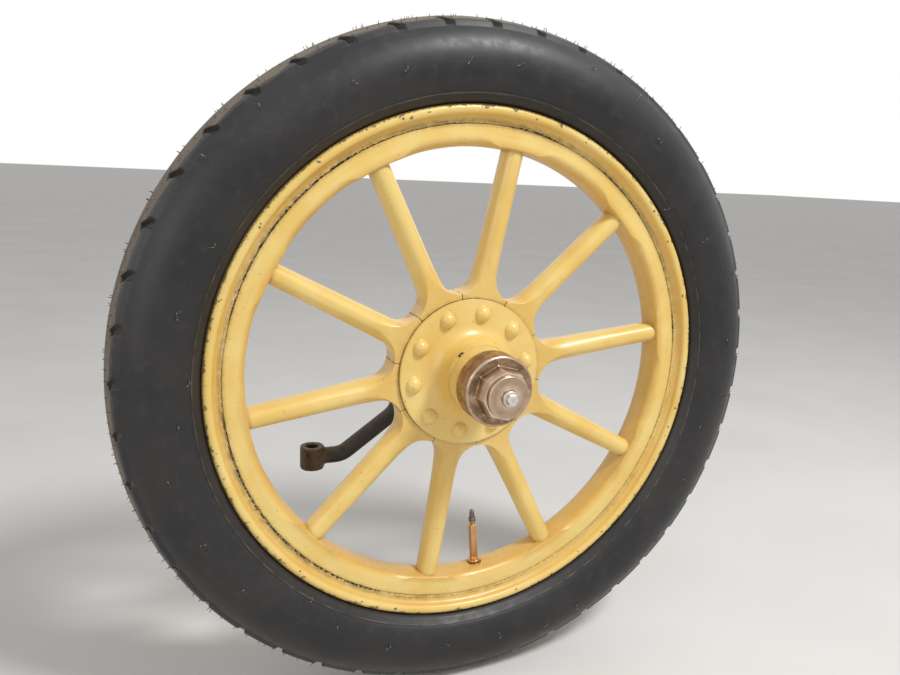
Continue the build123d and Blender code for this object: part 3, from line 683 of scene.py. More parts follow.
# Edges are brightened: wear where hands rub, and painted highlight along every edge.
edge_wear_and_highlight = bench.times(bench.ease(edge, 0.3, 0.85), bench.ease(scuff, 0.25, 0.5, 0.45, 1.0))
edge_wear_and_highlight = bench.times(edge_wear_and_highlight, given["Edge Wear And Highlight"])
colour = bench.tint(edge_wear_and_highlight, colour, given["Bright"])
rough = bench.plus(bench.ease(patch, 0.3, 0.7, 0.26, 0.42), bench.times(rings, 0.06))
rough = bench.minus(rough, bench.times(edge_wear_and_highlight, 0.1))
height = bench.plus(bench.times(rings, 0.05), bench.times(scuff, 0.04))
bench.feed(out, {"Colour": colour, "Roughness": rough, "Height": height})
print("group:", worn_metal.name)


# %% Metal finishes
def metal_finish(name, metal, tarnish, bright, amount, wear_and_highlight, lit_face_past=None):
    """A worn metal. Past the offset in the last argument, on the cap's front face, less of it is
    tarnished, so that face shows lighter: painted light.
    """

    def recipe(work):
        place = work.group(wheel_place)
        tarnish_and_lit_face = amount
        if lit_face_past is not None:
            tarnish_and_lit_face = work.ease(place["Offset"], lit_face_past, lit_face_past + 5.0, amount, 0.4 * amount)
        given = {
            "Grain": place["Around"],
            "Grain W": place["Offset"],
            "Millimetres": place["Millimetres"],
            "Metal": metal,
            "Tarnish": tarnish,
            "Bright": bright,
            "Tarnish Amount": tarnish_and_lit_face,
            "Edge Wear And Highlight": wear_and_highlight,
        }
        return looks_of(work.group(worn_metal, given))

    return finish_material(name, recipe, 0.4, Metallic=1.0)


# From this offset the cap's front face is less tarnished, so it shows lighter: painted light on the face.
CAP_LIT_FACE_PAST = 118.5
cap_bronze = metal_finish(
    "brown_turned_bronze",
    tone(178, 148, 122),
    tone(112, 84, 62),
    tone(230, 212, 190),
    0.85,
    0.75,
    CAP_LIT_FACE_PAST,
)
bright_steel = metal_finish(
    "polished_plug_steel", tone(172, 168, 162), tone(112, 106, 98), tone(232, 230, 226), 0.6, 0.8
)
valve_brass = metal_finish(
    "old_valve_brass", tone(172, 118, 70), tone(100, 64, 38), tone(232, 190, 140), 0.75, 0.7
)
dull_grey = metal_finish(
    "dull_grey_valve_cap", tone(112, 106, 100), tone(66, 60, 54), tone(176, 170, 160), 0.7, 0.7
)
bearing_bronze = metal_finish(
    "bearing_bronze", tone(196, 152, 84), tone(120, 84, 44), tone(236, 206, 140), 0.5, 0.6
)
plain_steel = metal_finish(
    "oily_steel", tone(150, 146, 140), tone(82, 74, 64), tone(206, 202, 196), 0.7, 0.7
)


# %% [markdown]
# ## Black forgings
# Stub axle and steering arm are forged and painted black. Road dust settles on faces that look up,
# and the paint has rubbed through to brown metal at the tie rod's eye. The object-space normal
# tells which faces look up, so the dust stays where it is when the camera moves.

# %% Dusty black paint
ARM_EYE_X = -168.0


def forging_recipe(work):
    place = work.group(wheel_place)
    spot = work.put("ShaderNodeTexCoord").outputs
    up = work.put("ShaderNodeSeparateXYZ", {0: spot["Normal"]}).outputs["Z"]
    along = work.put("ShaderNodeSeparateXYZ", {0: place["Millimetres"]}).outputs["X"]
    grit = work.noise(place["Millimetres"], 0.12, 5, 0.65)
    skin_grain = work.noise(place["Millimetres"], 0.5, 3, 0.6)
    dust = work.times(work.ease(up, 0.1, 0.9), work.ease(grit, 0.35, 0.65, 0.15, 0.75))
    colour = work.tint(dust, tone(34, 32, 32), tone(112, 98, 80))
    rubbed = work.times(work.ease(along, ARM_EYE_X + 26, ARM_EYE_X + 14), work.ease(grit, 0.3, 0.5))
    colour = work.tint(work.times(rubbed, 0.85), colour, tone(92, 68, 40))
    rubbed_edge = work.times(work.ease(work.attribute("edge")["Fac"], 0.5, 1.0), 0.35)
    colour = work.tint(rubbed_edge, colour, tone(96, 84, 70))
    rough = work.plus(work.ease(grit, 0.3, 0.7, 0.38, 0.5), work.times(dust, 0.35))
    height = work.plus(work.times(grit, 0.5), work.times(skin_grain, 0.12))
    return {"Base Color": colour, "Roughness": rough, "Height": height}


black_forging = finish_material("dusty_black_forging", forging_recipe, 0.5)

# %% [markdown]
# ## Tyre rubber
# The tyre is old black rubber: satin on the wall, and dull, brown and chalky on the tread, where the
# road wears it. A thin raised mould line runs round just outside the rim. Dust and wear follow the
# radius and the distance from the tyre's middle, so they are masks of those two, broken with noise.

# %% Rubber
MOULD_LINE_R = 323.4
WORN_HALF, WORN_R = 30.0, 398.5


def rubber_recipe(work):
    place = work.group(wheel_place)
    radius, offset = place["Radius"], place["Offset"]
    side = work.math("ABSOLUTE", offset)
    cloud = work.noise(place["Millimetres"], 0.012, 4, 0.55)
    dust = work.noise(place["Millimetres"], 0.07, 5, 0.65)
    pores = work.noise(place["Millimetres"], 1.1, 3, 0.6)
    swirl = work.noise(place["Around"], 0.3, 4, 0.6, offset)
    colour = work.tint(work.ease(cloud, 0.35, 0.68), tone(32, 32, 34), tone(44, 42, 42))
    colour = work.tint(work.times(work.ease(dust, 0.5, 0.78), 0.22), colour, tone(84, 78, 70))
    colour = work.tint(work.times(work.ease(swirl, 0.52, 0.8), 0.22), colour, tone(70, 66, 62))
    near_rim = work.times(work.ease(radius, 326.0, 312.0), 0.25)
    colour = work.tint(near_rim, colour, tone(66, 56, 44))
    line_break = work.noise(place["Around"], 0.9, 4, 0.7)
    line = work.times(work.band(radius, MOULD_LINE_R, 0.3, 0.4), work.ease(line_break, 0.45, 0.6))
    colour = work.tint(work.times(line, 0.5), colour, tone(124, 110, 94))
    edge_wave = work.noise(place["Millimetres"], 0.035, 3, 0.55)
    worn_edge = work.plus(side, work.swing(edge_wave, 14.0))
    on_crown = work.ease(radius, WORN_R, WORN_R + 1.5)
    worn = work.times(work.ease(worn_edge, WORN_HALF, WORN_HALF - 3.0), on_crown)
    worn_mask = work.times(worn, work.ease(dust, 0.2, 0.6, 0.6, 0.95))
    colour = work.tint(worn_mask, colour, tone(126, 115, 102))
    scuffed = work.times(work.ease(worn_edge, 38.0, 30.0), work.ease(radius, 393.0, 397.0))
    scuffed = work.times(scuffed, work.ease(dust, 0.45, 0.7, 0.0, 0.35))
    colour = work.tint(scuffed, colour, tone(120, 110, 98))
    # Slot floors are darkened almost to black: painted shade in the slots.
    slot_shade = work.times(work.ease(work.attribute("deep")["Fac"], 0.1, 0.7), 0.95)
    colour = work.tint(slot_shade, colour, tone(24, 21, 20))
    cells = {"Vector": place["Millimetres"], "Scale": 0.055, "Randomness": 1.0}
    crazing = work.put("ShaderNodeTexVoronoi", cells, feature="DISTANCE_TO_EDGE").outputs["Distance"]
    craze = work.times(work.ease(crazing, 0.012, 0.004), work.ease(dust, 0.55, 0.7))
    rough = work.plus(work.ease(dust, 0.3, 0.7, 0.38, 0.5), work.times(worn, 0.35))
    height = work.plus(work.times(pores, 0.06), work.times(dust, 0.3))
    height = work.minus(height, work.times(craze, 0.12))
    return {"Base Color": colour, "Roughness": rough, "Height": height}


rubber = finish_material("weathered_tyre_rubber", rubber_recipe, 0.5, Specular_IOR_Level=0.4)

# %% [markdown]
# ## Tyre
# A beaded-edge tyre is moulded: a crowned tread with two grooves, a step at each shoulder, round
# walls and beads that hook under the rim. Slanted slots run from the grooves out over the tread's
# edge at an even pitch. They could be cut with Booleans, but dozens of cuts leave ragged faces. Here
# the grid itself is denser beside each slot, leans with it, and is pressed in to the slot's floor.

# %% Tyre section
WALL_CENTRE_R = TYRE_R - TYRE_HALF_WIDTH
TREAD_HALF, CROWN_R, SHOULDER_STEP = 34.0, 66.0, 3.0
GROOVE_START, GROOVE_MIDDLE, GROOVE_END, GROOVE_DEPTH = 9.0, 12.5, 16.0, 4.0
CROWN_OFFSETS = (19, 22, 25, 27.5, 29.5, 31, 32.4)
WALL_END = 124.0
ridge_angle = np.degrees(asin((TREAD_HALF + SHOULDER_STEP) / TYRE_HALF_WIDTH))


def crown_at(offset):
    return TYRE_R - CROWN_R + sqrt(CROWN_R**2 - offset**2)


def wall_at(start, end, steps):
    """Points of the round wall between two angles, seen from the middle of its section."""
    return arc((WALL_CENTRE_R, 0), TYRE_HALF_WIDTH, start, end, steps)


tread_edge = (crown_at(TREAD_HALF), TREAD_HALF)
ridge = wall_at(ridge_angle, ridge_angle, 0)[0]
crown = rounded(
    [
        (TYRE_R, 0, 0),
        (crown_at(4.5), 4.5, 0),
        (crown_at(GROOVE_START), GROOVE_START, 0.8),
        (TYRE_R - GROOVE_DEPTH, GROOVE_MIDDLE, 1.2),
        (crown_at(GROOVE_END), GROOVE_END, 0.8),
        *[(crown_at(offset), offset, 0) for offset in CROWN_OFFSETS],
        (*tread_edge, 1.0),
        (*ridge, 1.4),
        (*wall_at(ridge_angle + 3, ridge_angle + 3, 0)[0], 0),
    ],
    3,
)
wall = wall_at(ridge_angle + 3, WALL_END, 16)[1:]
# Radius and offset: the raised line where the mould closed, then down the flank to the bead's toe
mould_line = [(324.9, 42.7), (324.2, 42.9), (323.4, 42.4), (322.7, 41.3)]
bead = [(318.6, 38.0), (315.4, 34.4), (314.6, 30.0), (305.0, 22.8), (296.3, 21.0)]
half_section = np.array([*crown, *wall, *mould_line, *bead])
section = np.concatenate([half_section, half_section[:0:-1] * (1, -1)])
print("points in the tyre's section:", len(section))

# %% Columns that crowd beside each slot
SLOT_COUNT, FIRST_SLOT = 45, radians(2.04)
SLOT_TOP_HALF, SLOT_FLOOR_HALF, SLOT_DEPTH = 6.1, 3.6, 5.2
SLOT_INNER_END, SLOT_BEND, SLOT_OUTER_END, SLOT_FLOOR_END_R = 12.5, 30.0, 36.0, 394.2
LEAN, LEAN_FROM, LEAN_START = 0.73, 31.3, -2.4
# Columns of the grid in mm from a slot's middle line, closest together on the slot's flank
half_columns = (0, 1.8, 3.4, 4.4, 5.3, 6.1, 6.8, 9.0, 14.0, 20.5)
pitch = 2 * pi / SLOT_COUNT
mm_to_turn = 1 / ridge[0]
local = np.array([-u for u in half_columns[:0:-1]] + list(half_columns) + [pitch / 2 / mm_to_turn])
slot_angles = FIRST_SLOT + pitch * np.arange(SLOT_COUNT)[:, None] + local[None, :] * mm_to_turn
sideways = np.tile(local, SLOT_COUNT)[None, :]
print("columns round the tyre:", slot_angles.size)

# %% Tyre body with the slots pressed in
# Depth in a slot at which its painted shade is full.
DARK_DEPTH = 2.5
side = np.abs(section[:, 1])


def slot_middle(offset):
    """How far the slot's middle line has leant round the tyre at an offset, in mm."""
    return LEAN_START + LEAN * np.clip(LEAN_FROM - offset, 0, LEAN_FROM - SLOT_INNER_END)


angles = slot_angles.ravel()[None, :] + slot_middle(side)[:, None] * mm_to_turn
floor_offsets = [SLOT_INNER_END, SLOT_BEND, SLOT_OUTER_END]
floor_radii = [crown_at(SLOT_INNER_END) - SLOT_DEPTH, crown_at(SLOT_BEND) - SLOT_DEPTH, SLOT_FLOOR_END_R]
to_floor = np.clip(section[:, 0] - np.interp(side, floor_offsets, floor_radii), 0, SLOT_DEPTH)
to_floor = to_floor * smoothstep(side, SLOT_INNER_END, SLOT_INNER_END + 3)
flank = np.clip((SLOT_TOP_HALF - np.abs(sideways)) / (SLOT_TOP_HALF - SLOT_FLOOR_HALF), 0, 1)
sink = to_floor[:, None] * flank
tyre_grid = SPINDLE.points(section[:, None, 0] - sink, angles, section[:, None, 1])
tyre_cover = skin("tyre_cover", tyre_grid, True, 40)
store(tyre_cover.data, "deep", np.clip(sink / DARK_DEPTH, 0, 1))
coat(tyre_cover, rubber)

# %% [markdown]
# ## Vent hairs
# Rubber squeezed into the mould's vents leaves thin hairs. They stand at the corners of the slots and
# along the tread. Here and there on the wall they lie over, some with a kink, and these dark lying hairs
# also stand for the shadows that hairs cast, as painted shade. There are hundreds, all alike, which is
# work for Geometry Nodes: the script only says where a hair stands, which way it points and how long it
# is, and the tree sets a five-sided tapered hair there.


# %% Geometry tree helper
def geometry_tree(name, inputs):
    """A Geometry Nodes tree with named inputs that ends in one Geometry output."""
    tree = bpy.data.node_groups.new(name, "GeometryNodeTree")
    tree.interface.new_socket("Geometry", in_out="INPUT", socket_type="NodeSocketGeometry")
    for label, kind in inputs:
        tree.interface.new_socket(label, in_out="INPUT", socket_type=kind)
    tree.interface.new_socket("Geometry", in_out="OUTPUT", socket_type="NodeSocketGeometry")
    bench = Bench(tree)
    return bench, bench.put("NodeGroupInput").outputs, bench.put("NodeGroupOutput").inputs[0]


def make_real(bench, copies, material, end):
    """Ends a tree: its copies become mesh with a material of their own."""
    real = bench.put("GeometryNodeRealizeInstances", {"Geometry": copies}).outputs[0]
    coated = bench.put("GeometryNodeSetMaterial", {"Geometry": real, "Material": material}).outputs[0]
    bench.tree.links.new(coated, end)
    return bench.tree


def grown(piece, tree, values, name):
    """Runs a tree on a piece and gives the result as a plain mesh object of its own."""
    modifier = piece.modifiers.new(tree.name, "NODES")
    modifier.node_group = tree
    for item in tree.interface.items_tree:
        if item.in_out == "INPUT" and item.name in values:
            modifier[item.identifier] = values[item.name]
    bpy.context.view_layer.update()
    graph = bpy.context.evaluated_depsgraph_get()
    mesh = bpy.data.meshes.new_from_object(piece.evaluated_get(graph), depsgraph=graph)
    mesh.name = name
    result = add_object(name, mesh)
    piece.modifiers.remove(modifier)
    bpy.data.objects.remove(piece)
    report(result)
    return result


# %% Vent hair tree
bench, given, end = geometry_tree(
    "Vent Hairs",
    [("Hair Radius", FLOAT), ("Rubber", "NodeSocketMaterial")],
)
cone = {"Vertices": 5, "Side Segments": 2, "Radius Bottom": given["Hair Radius"], "Depth": 1.0}
cone["Radius Top"] = bench.times(given["Hair Radius"], 0.6)
hair = bench.put("GeometryNodeMeshCone", cone).outputs["Mesh"]
hair_place = bench.put("GeometryNodeInputPosition").outputs[0]
up_the_hair = bench.put("ShaderNodeSeparateXYZ", {0: hair_place}).outputs["Z"]
marked = {"Geometry": hair, "Name": "tip", "Value": up_the_hair}
hair = bench.put("GeometryNodeStoreNamedAttribute", marked, data_type="FLOAT", domain="POINT").outputs[0]
stand = bench.put("GeometryNodeInputNamedAttribute", {"Name": "stand"}, data_type="FLOAT_VECTOR")
long = bench.put("GeometryNodeInputNamedAttribute", {"Name": "length"}, data_type="FLOAT").outputs[0]
upright = bench.put("FunctionNodeAlignRotationToVector", {"Vector": stand.outputs[0]}, axis="Z")
stretch = bench.put("ShaderNodeCombineXYZ", {"X": 1.0, "Y": 1.0, "Z": long}).outputs[0]
spots = bench.put("GeometryNodeMeshToPoints", {"Mesh": given["Geometry"]}).outputs[0]
placed = {"Points": spots, "Instance": hair, "Rotation": upright.outputs[0], "Scale": stretch}
placed = bench.put("GeometryNodeInstanceOnPoints", placed).outputs[0]
vent_tree = make_real(bench, placed, given["Rubber"], end)
print("tree:", vent_tree.name, "with", len(vent_tree.nodes), "nodes")


# %% Hair rubber, pale at the tip as painted highlight
def hair_recipe(work):
    tip = work.attribute("tip")["Fac"]
    # The pale tip is painted light: the lit end of a hair.
    colour = work.tint(work.ease(tip, 0.55, 0.95), tone(70, 67, 64), tone(168, 163, 156))
    return {"Base Color": colour, "Roughness": work.ease(tip, 0.0, 1.0, 0.5, 0.7)}


hair_rubber = finish_material("vent_hair_rubber", hair_recipe, Specular_IOR_Level=0.4)

# %% Foot, way and length of a hair
HAIR_RADIUS = 0.5
BOX_EDGE = TYRE_R - 0.15
dice = np.random.default_rng(815)
hair_feet, hair_ways, hair_lengths = [], [], []


def add_hair(radius, turn_here, offset, way, length):
    """A hair from a point on the tyre along way (outwards, onwards, outboard), kept in the box."""
    outwards = np.array([cos(turn_here), 0, sin(turn_here)])
    onwards = np.array([-sin(turn_here), 0, cos(turn_here)])
    direction = way[0] * outwards + way[1] * onwards + way[2] * np.array([0, -1, 0])
    direction /= np.linalg.norm(direction)
    foot = SPINDLE.points(radius - 0.3, turn_here, offset)
    for axis in (0, 2):
        room = BOX_EDGE - abs(foot[axis]) / MM
        pace = abs(direction[axis])
        if foot[axis] * direction[axis] > 0 and pace * length > room:
            length = room / pace
    if length > 1.0:
        hair_feet.append(foot)
        hair_ways.append(direction)
        hair_lengths.append(length * MM)
    return foot + length * MM * direction


# %% Hairs on the tread, upright beside the slots
# Offset on the tread, distance round the tyre from the slot's middle line
TREAD_HAIRS = (
    (4.0, 16.0),
    (19.0, 8.5),
    (19.0, -8.0),
    (24.0, 27.0),
    (27.0, 7.8),
    (27.0, -7.6),
    (20.0, 36.0),
    (7.5, 24.0),
)
for number in range(SLOT_COUNT):
    slot_turn = FIRST_SLOT + number * pitch
    for face in (1, -1):
        for offset, beside in TREAD_HAIRS:
            length = dice.uniform(2.4, 4.6)
            if dice.uniform() > 0.86:
                continue
            beside = beside + dice.uniform(-0.8, 0.8) + slot_middle(offset)
            way = (1.0, dice.uniform(-0.35, 0.35), face * (offset / CROWN_R + dice.uniform(-0.2, 0.2)))
            add_hair(crown_at(offset), slot_turn + beside * mm_to_turn, face * offset, way, length)
print("hairs on the tread:", len(hair_feet))

# %% Hairs on the wall, lying over, whose dark lines also stand for hair shadows as painted shade
LIFT_OFF_WALL = 0.22
WALL_HAIRS = 64


def along_wall(face, wall_turn, bearing):
    """A way that lies almost flat on the tyre's wall, at a bearing from straight round the tyre."""
    outwards = LIFT_OFF_WALL * cos(wall_turn) - sin(bearing) * sin(wall_turn)
    outboard = LIFT_OFF_WALL * sin(wall_turn) + sin(bearing) * cos(wall_turn)
    return outwards, cos(bearing), face * outboard


for number in range(WALL_HAIRS):
    face = 1 if number % 2 else -1
    turn_here = number * 2 * pi / WALL_HAIRS + dice.uniform(-0.04, 0.04)
    wall_turn = radians(dice.choice([63.0, 82.0, 104.0, 121.0]) + dice.uniform(-4, 4))
    radius = WALL_CENTRE_R + TYRE_HALF_WIDTH * cos(wall_turn)
    offset = face * TYRE_HALF_WIDTH * sin(wall_turn)
    bent = dice.uniform() > 0.5
    bearing = dice.uniform(0, 2 * pi)
    way = along_wall(face, wall_turn, bearing)
    tip = add_hair(radius, turn_here, offset, way, dice.uniform(5, 7) if bent else dice.uniform(8, 12))
    if bent:
        tip_radius = np.hypot(tip[0], tip[2]) / MM
        tip_turn = atan2(tip[2], tip[0])
        kinked = along_wall(face, wall_turn, bearing + dice.choice([-1.4, 1.4]))
        add_hair(tip_radius, tip_turn, WHEEL_Y - tip[1] / MM, kinked, dice.uniform(4, 7))
print("hairs in all:", len(hair_feet))

# %% Hairs made real
hair_mesh = bpy.data.meshes.new("hair_feet")
hair_mesh.from_pydata([tuple(foot) for foot in hair_feet], [], [])
store(hair_mesh, "stand", hair_ways, "FLOAT_VECTOR")
store(hair_mesh, "length", hair_lengths)
vent_values = {"Hair Radius": HAIR_RADIUS * MM, "Rubber": hair_rubber}
vent_hairs = grown(add_object("hair_feet", hair_mesh), vent_tree, vent_values, "tyre_vent_hairs")

# %% [markdown]
# ## Clincher rim
# The rim is rolled from one steel strip: a flat seat on the wood, a hollow flank on each side and
# an edge rolled round until it points inwards, under which the tyre's bead hooks. The hollow meets
# the roll on a tangent. A bent strip keeps its thickness, so the section is drawn as both its faces.


# %% An arc that leaves on a tangent
def tangent_arc(start, way, end, steps):
    """Points of the arc that leaves start along way and comes to end, without the first."""
    start, way, end = (np.array(v, float) for v in (start, way, end))
    side = np.array([-way[1], way[0]])
    reach = end - start
    radius = reach @ reach / (2 * side @ reach)
    centre = start + side * radius
    first, last = start - centre, end - centre
    turn = atan2(first[0] * last[1] - first[1] * last[0], first @ last)
    angles_here = np.linspace(0, turn, steps + 1)[1:]
    cosines, sines = np.cos(angles_here), np.sin(angles_here)
    radii = centre[0] + cosines * first[0] - sines * first[1]
    offsets = centre[1] + sines * first[0] + cosines * first[1]
    return np.stack([radii, offsets], -1)


# %% Rim section and rim
VALLEY_START, HOOK_END = 165.0, -130.0
SEAT_HALF, STRIP = 25.0, 3.0
roll_line = arc((ROLL_CENTRE_R, ROLL_CENTRE_OFFSET), ROLL_R, VALLEY_START, HOOK_END, 40)
away = (-sin(radians(VALLEY_START)), cos(radians(VALLEY_START)))
flank = tangent_arc(roll_line[0], away, (SEAT_R + 0.9, SEAT_HALF + 0.1), 12)
lip = rounded([(*flank[-1], 0), (SEAT_R, SEAT_HALF - 0.2, 0.8), (SEAT_R, 0, 0)], 4)[1:]
inside = rounded(
    [
        (*roll_line[-1], 0),
        (SEAT_R + STRIP + ROLL_R, SEAT_HALF + 0.2, 2),
        (SEAT_R + STRIP, SEAT_HALF - STRIP, 2),
        (SEAT_R + STRIP, 0, 0),
    ],
    4,
)
half_rim = np.array([*inside[::-1], *roll_line[::-1][1:], *flank, *lip])
other_half = half_rim[::-1][1:-1] * (1, -1)
clincher_rim = turned("clincher_rim", np.concatenate([half_rim, other_half]), 400, loop=True)
coat(clincher_rim, rim_paint)

# %% [markdown]
# ## Felloe
# The felloe is a bent wooden ring, nearly square in section. Its front inner corner is rounded off
# between the spokes and left square at each spoke. A wheelwright cuts that stopped rounding with a
# tool that swings in from the middle of a bay. The grid follows the cut: at each angle it works out
# how deep the tool reaches, and the rows of the corner slide along with the edge that it leaves.
# The rear inner corner has one big rounding that runs all the way round, so its rows are alike.

# %% Front corner of the felloe, as the tool leaves it
STOP_ROUND, EASED_CORNER = 12.0, 2.6
SHIFT_SHARE, LIFT_SHARE = 0.6, 0.511
FELLOE_COLUMNS, CORNER_ROWS = 600, 12
felloe_angles = turn_angles(FELLOE_COLUMNS) + FIRST_SPOKE
bay = 2 * pi / SPOKE_COUNT
from_middle = (felloe_angles - FIRST_SPOKE) % bay - bay / 2
tool_shift = SHIFT_SHARE * FELLOE_INNER_R
tool_r = FELLOE_INNER_R + STOP_ROUND - tool_shift
tool_side = tool_shift * np.sin(from_middle)
tool_edge = tool_shift * np.cos(from_middle) + np.sqrt(tool_r**2 - tool_side**2)
spent = np.clip(FELLOE_INNER_R + STOP_ROUND - tool_edge, 0, STOP_ROUND)
lift = smoothstep(spent, 2.5, STOP_ROUND)
tool_in, tool_out = 0.25 * LIFT_SHARE * lift, LIFT_SHARE * lift
first_reach, last_reach = np.arccos(1 - tool_out), np.arcsin(1 - tool_in)
share = np.linspace(0, 1, CORNER_ROWS + 1)[:, None]
reach = first_reach + share * (last_reach - first_reach)
cut_radius = FELLOE_INNER_R + STOP_ROUND * (1 - tool_in - np.sin(reach))
cut_offset = FELLOE_HALF_WIDTH - STOP_ROUND * (1 - tool_out - np.cos(reach))
eased_radius = FELLOE_INNER_R + EASED_CORNER * (1 - np.sin(share * pi / 2))
eased_offset = FELLOE_HALF_WIDTH - EASED_CORNER * (1 - np.cos(share * pi / 2))
square = smoothstep(lift, 0.85, 1.0)
corner_radius = (1 - square) * cut_radius + square * eased_radius
corner_offset = (1 - square) * cut_offset + square * eased_offset
print(f"the tool cuts {STOP_ROUND} mm deep in mid bay and {STOP_ROUND - spent.max():.1f} mm at a spoke")

# %% Felloe ring
REAR_ROUND, FELLOE_SHARP = 22.8, 35
outer = rounded(
    [
        (FELLOE_OUTER_R, 0, 0),
        (FELLOE_OUTER_R, FELLOE_HALF_WIDTH, 1.4),
        (280, FELLOE_HALF_WIDTH, 0),
    ],
    5,
)
ragged_edge = 0.25 * np.sin(23 * felloe_angles) * np.sin(57 * felloe_angles + 1)
ragged_edge += 0.15 * np.sin(131 * felloe_angles)
outer_radius = outer[:-1, None, 0] - np.clip(ragged_edge, 0, 1)[None, :] * (outer[:-1, None, 1] > 20)
outer_offset = outer[:-1, None, 1] * np.ones_like(felloe_angles)
side_radius = corner_radius[0] + (outer_radius[-1] - corner_radius[0]) * np.linspace(1, 0, 7)[1:-1, None]
side_offset = FELLOE_HALF_WIDTH * np.ones_like(side_radius)
bottom_radius = FELLOE_INNER_R * np.ones((1, FELLOE_COLUMNS))
half_radius = np.concatenate([outer_radius, side_radius, corner_radius, bottom_radius])
half_offset = np.concatenate([outer_offset, side_offset, corner_offset, 0 * bottom_radius])
rear_turn = np.linspace(0, pi / 2, CORNER_ROWS + 1)[:, None] * np.ones_like(felloe_angles)
rear_radius = FELLOE_INNER_R + REAR_ROUND * (1 - np.cos(rear_turn))
rear_offset = REAR_ROUND * (1 - np.sin(rear_turn)) - FELLOE_HALF_WIDTH
felloe_radius = np.concatenate([half_radius, rear_radius, outer_radius[::-1][:-1]])
felloe_offset = np.concatenate([half_offset, rear_offset, -outer_offset[::-1][:-1]])
felloe_grid = SPINDLE.points(felloe_radius, felloe_angles[None, :], felloe_offset)
felloe_ring = skin("felloe_ring", felloe_grid, True, FELLOE_SHARP)
report(felloe_ring)

# %% Valve pocket in the felloe
VALVE = Lathe((0, WHEEL_Y, 0), (cos(VALVE_ANGLE), 0, sin(VALVE_ANGLE)), (0, -1, 0))
POCKET_R, POCKET_DEPTH, DRILL_START = 9.4, 8.0, 255.0
drill_line = np.array([(POCKET_R, DRILL_START), (POCKET_R, FELLOE_INNER_R + POCKET_DEPTH)])
drill = turned("pocket_drill", drill_line, 40, lathe=VALVE)
cut = felloe_ring.modifiers.new("pocket", "BOOLEAN")
cut.object = drill
cut.solver = "EXACT"
graph = bpy.context.evaluated_depsgraph_get()
bored = bpy.data.meshes.new_from_object(felloe_ring.evaluated_get(graph), depsgraph=graph)
felloe_ring.modifiers.clear()
felloe_ring.data = bored
bpy.data.objects.remove(drill)
felloe_ring.data.set_sharp_from_angle(angle=radians(FELLOE_SHARP))
coat(felloe_ring, felloe_paint)

# %% [markdown]
# ## Spokes
# A wheelwright's spoke is the piece that takes the most skill. Its foot is a wedge that meets its
# neighbours on mitres, the flanks sweep in on hollow curves, the flat front narrows to a point and
# turns into a soft ridge, and the shaft runs out to the felloe as an oval. One spoke is made as a
# row of sections along X, each with four corners whose size and fullness change on the way. The
# other nine are copies, which a small tree turns round the spindle and makes real.

# %% Measures along one spoke
NOTCH_R, STRAIGHT_HALF, FLARE_R = 98.0, 14.4, 22.98
half_bay = pi / SPOKE_COUNT
notch_x = NOTCH_R * cos(half_bay)
flare_end = notch_x + FLARE_R * cos(half_bay)
MITRE_GAP, FOOT_CORNER, FOOT_FULLNESS = 0.07, 0.9, 1.6
SHAFT_START, SHAFT_HALF, TIP_HALF = 132.0, 14.1, 11.9
TIP_X, TENON_R, TENON_END = 271.5, 8.0, 286.0
print(f"a spoke's foot ends {notch_x:.1f} mm from the spindle, and its hollow flank {flare_end:.1f} mm")

# %% Where the sections stand
# Station along the spoke, front flat's half width, corner depth, corner fullness, front, rear
SPOKE_TABLE = (
    (93.2, 29.4, 0.9, 1.6, 13.9, -21.1),
    (97.0, 21.5, 3.0, 1.5, 13.9, -21.1),
    (103.0, 14.6, 6.0, 1.4, 13.9, -21.1),
    (110.0, 10.0, 8.5, 1.35, 13.9, -21.1),
    (118.0, 6.6, 10.5, 1.35, 14.1, -20.9),
    (SHAFT_START, 2.0, 13.0, 1.45, 15.0, -20.2),
    (160.0, 0.9, 14.0, 1.7, 16.2, -18.0),
    (200.0, 0.8, 14.0, 1.95, 17.9, -14.8),
    (TIP_X, 0.8, 12.5, 2.0, 21.6, -10.4),
)
table = np.array(SPOKE_TABLE).T
# Sections stand close together where the foot ends and the flank sweeps in
spoke_x = np.concatenate([
    [41.4, 60, 75, 84, 88],
    np.arange(90, notch_x, 0.8),
    np.arange(notch_x, flare_end, 0.9),
    np.arange(flare_end, 142, 2.0),
    np.arange(142, 262, 4.0),
    [262, 265, 267, TIP_X],
])
SMOOTH_STEPS = 12
fine_x = np.arange(table[0, 0] - 30, TIP_X + 30, 0.5)
window = np.hanning(2 * SMOOTH_STEPS + 1)


# %% Width, depth and fullness at each section
def along_spoke(row):
    """A column of the table, read at each section and with its corners smoothed away."""
    line = np.interp(fine_x, table[0], table[row])
    padded_line = np.pad(line, SMOOTH_STEPS, mode="edge")
    return np.interp(spoke_x, fine_x, np.convolve(padded_line, window / window.sum(), "valid"))


half_width = np.interp(spoke_x, [flare_end, SHAFT_START, TIP_X], [STRAIGHT_HALF, SHAFT_HALF, TIP_HALF])
in_flare = (spoke_x >= notch_x) & (spoke_x < flare_end)
flare_x = np.clip(spoke_x - flare_end, -FLARE_R, 0)
half_width = np.where(in_flare, STRAIGHT_HALF + FLARE_R - np.sqrt(FLARE_R**2 - flare_x**2), half_width)
in_foot = spoke_x < notch_x
half_width = np.where(in_foot, spoke_x * tan(half_bay) - MITRE_GAP, half_width)
depth = np.where(in_foot, FOOT_CORNER, along_spoke(2))
flat = np.minimum(along_spoke(1), half_width - FOOT_CORNER)
flat = np.where(in_foot, half_width - FOOT_CORNER, flat)
fullness = np.where(in_foot, FOOT_FULLNESS, along_spoke(3))
front, rear = along_spoke(4), along_spoke(5)
print("sections along the spoke:", len(spoke_x))

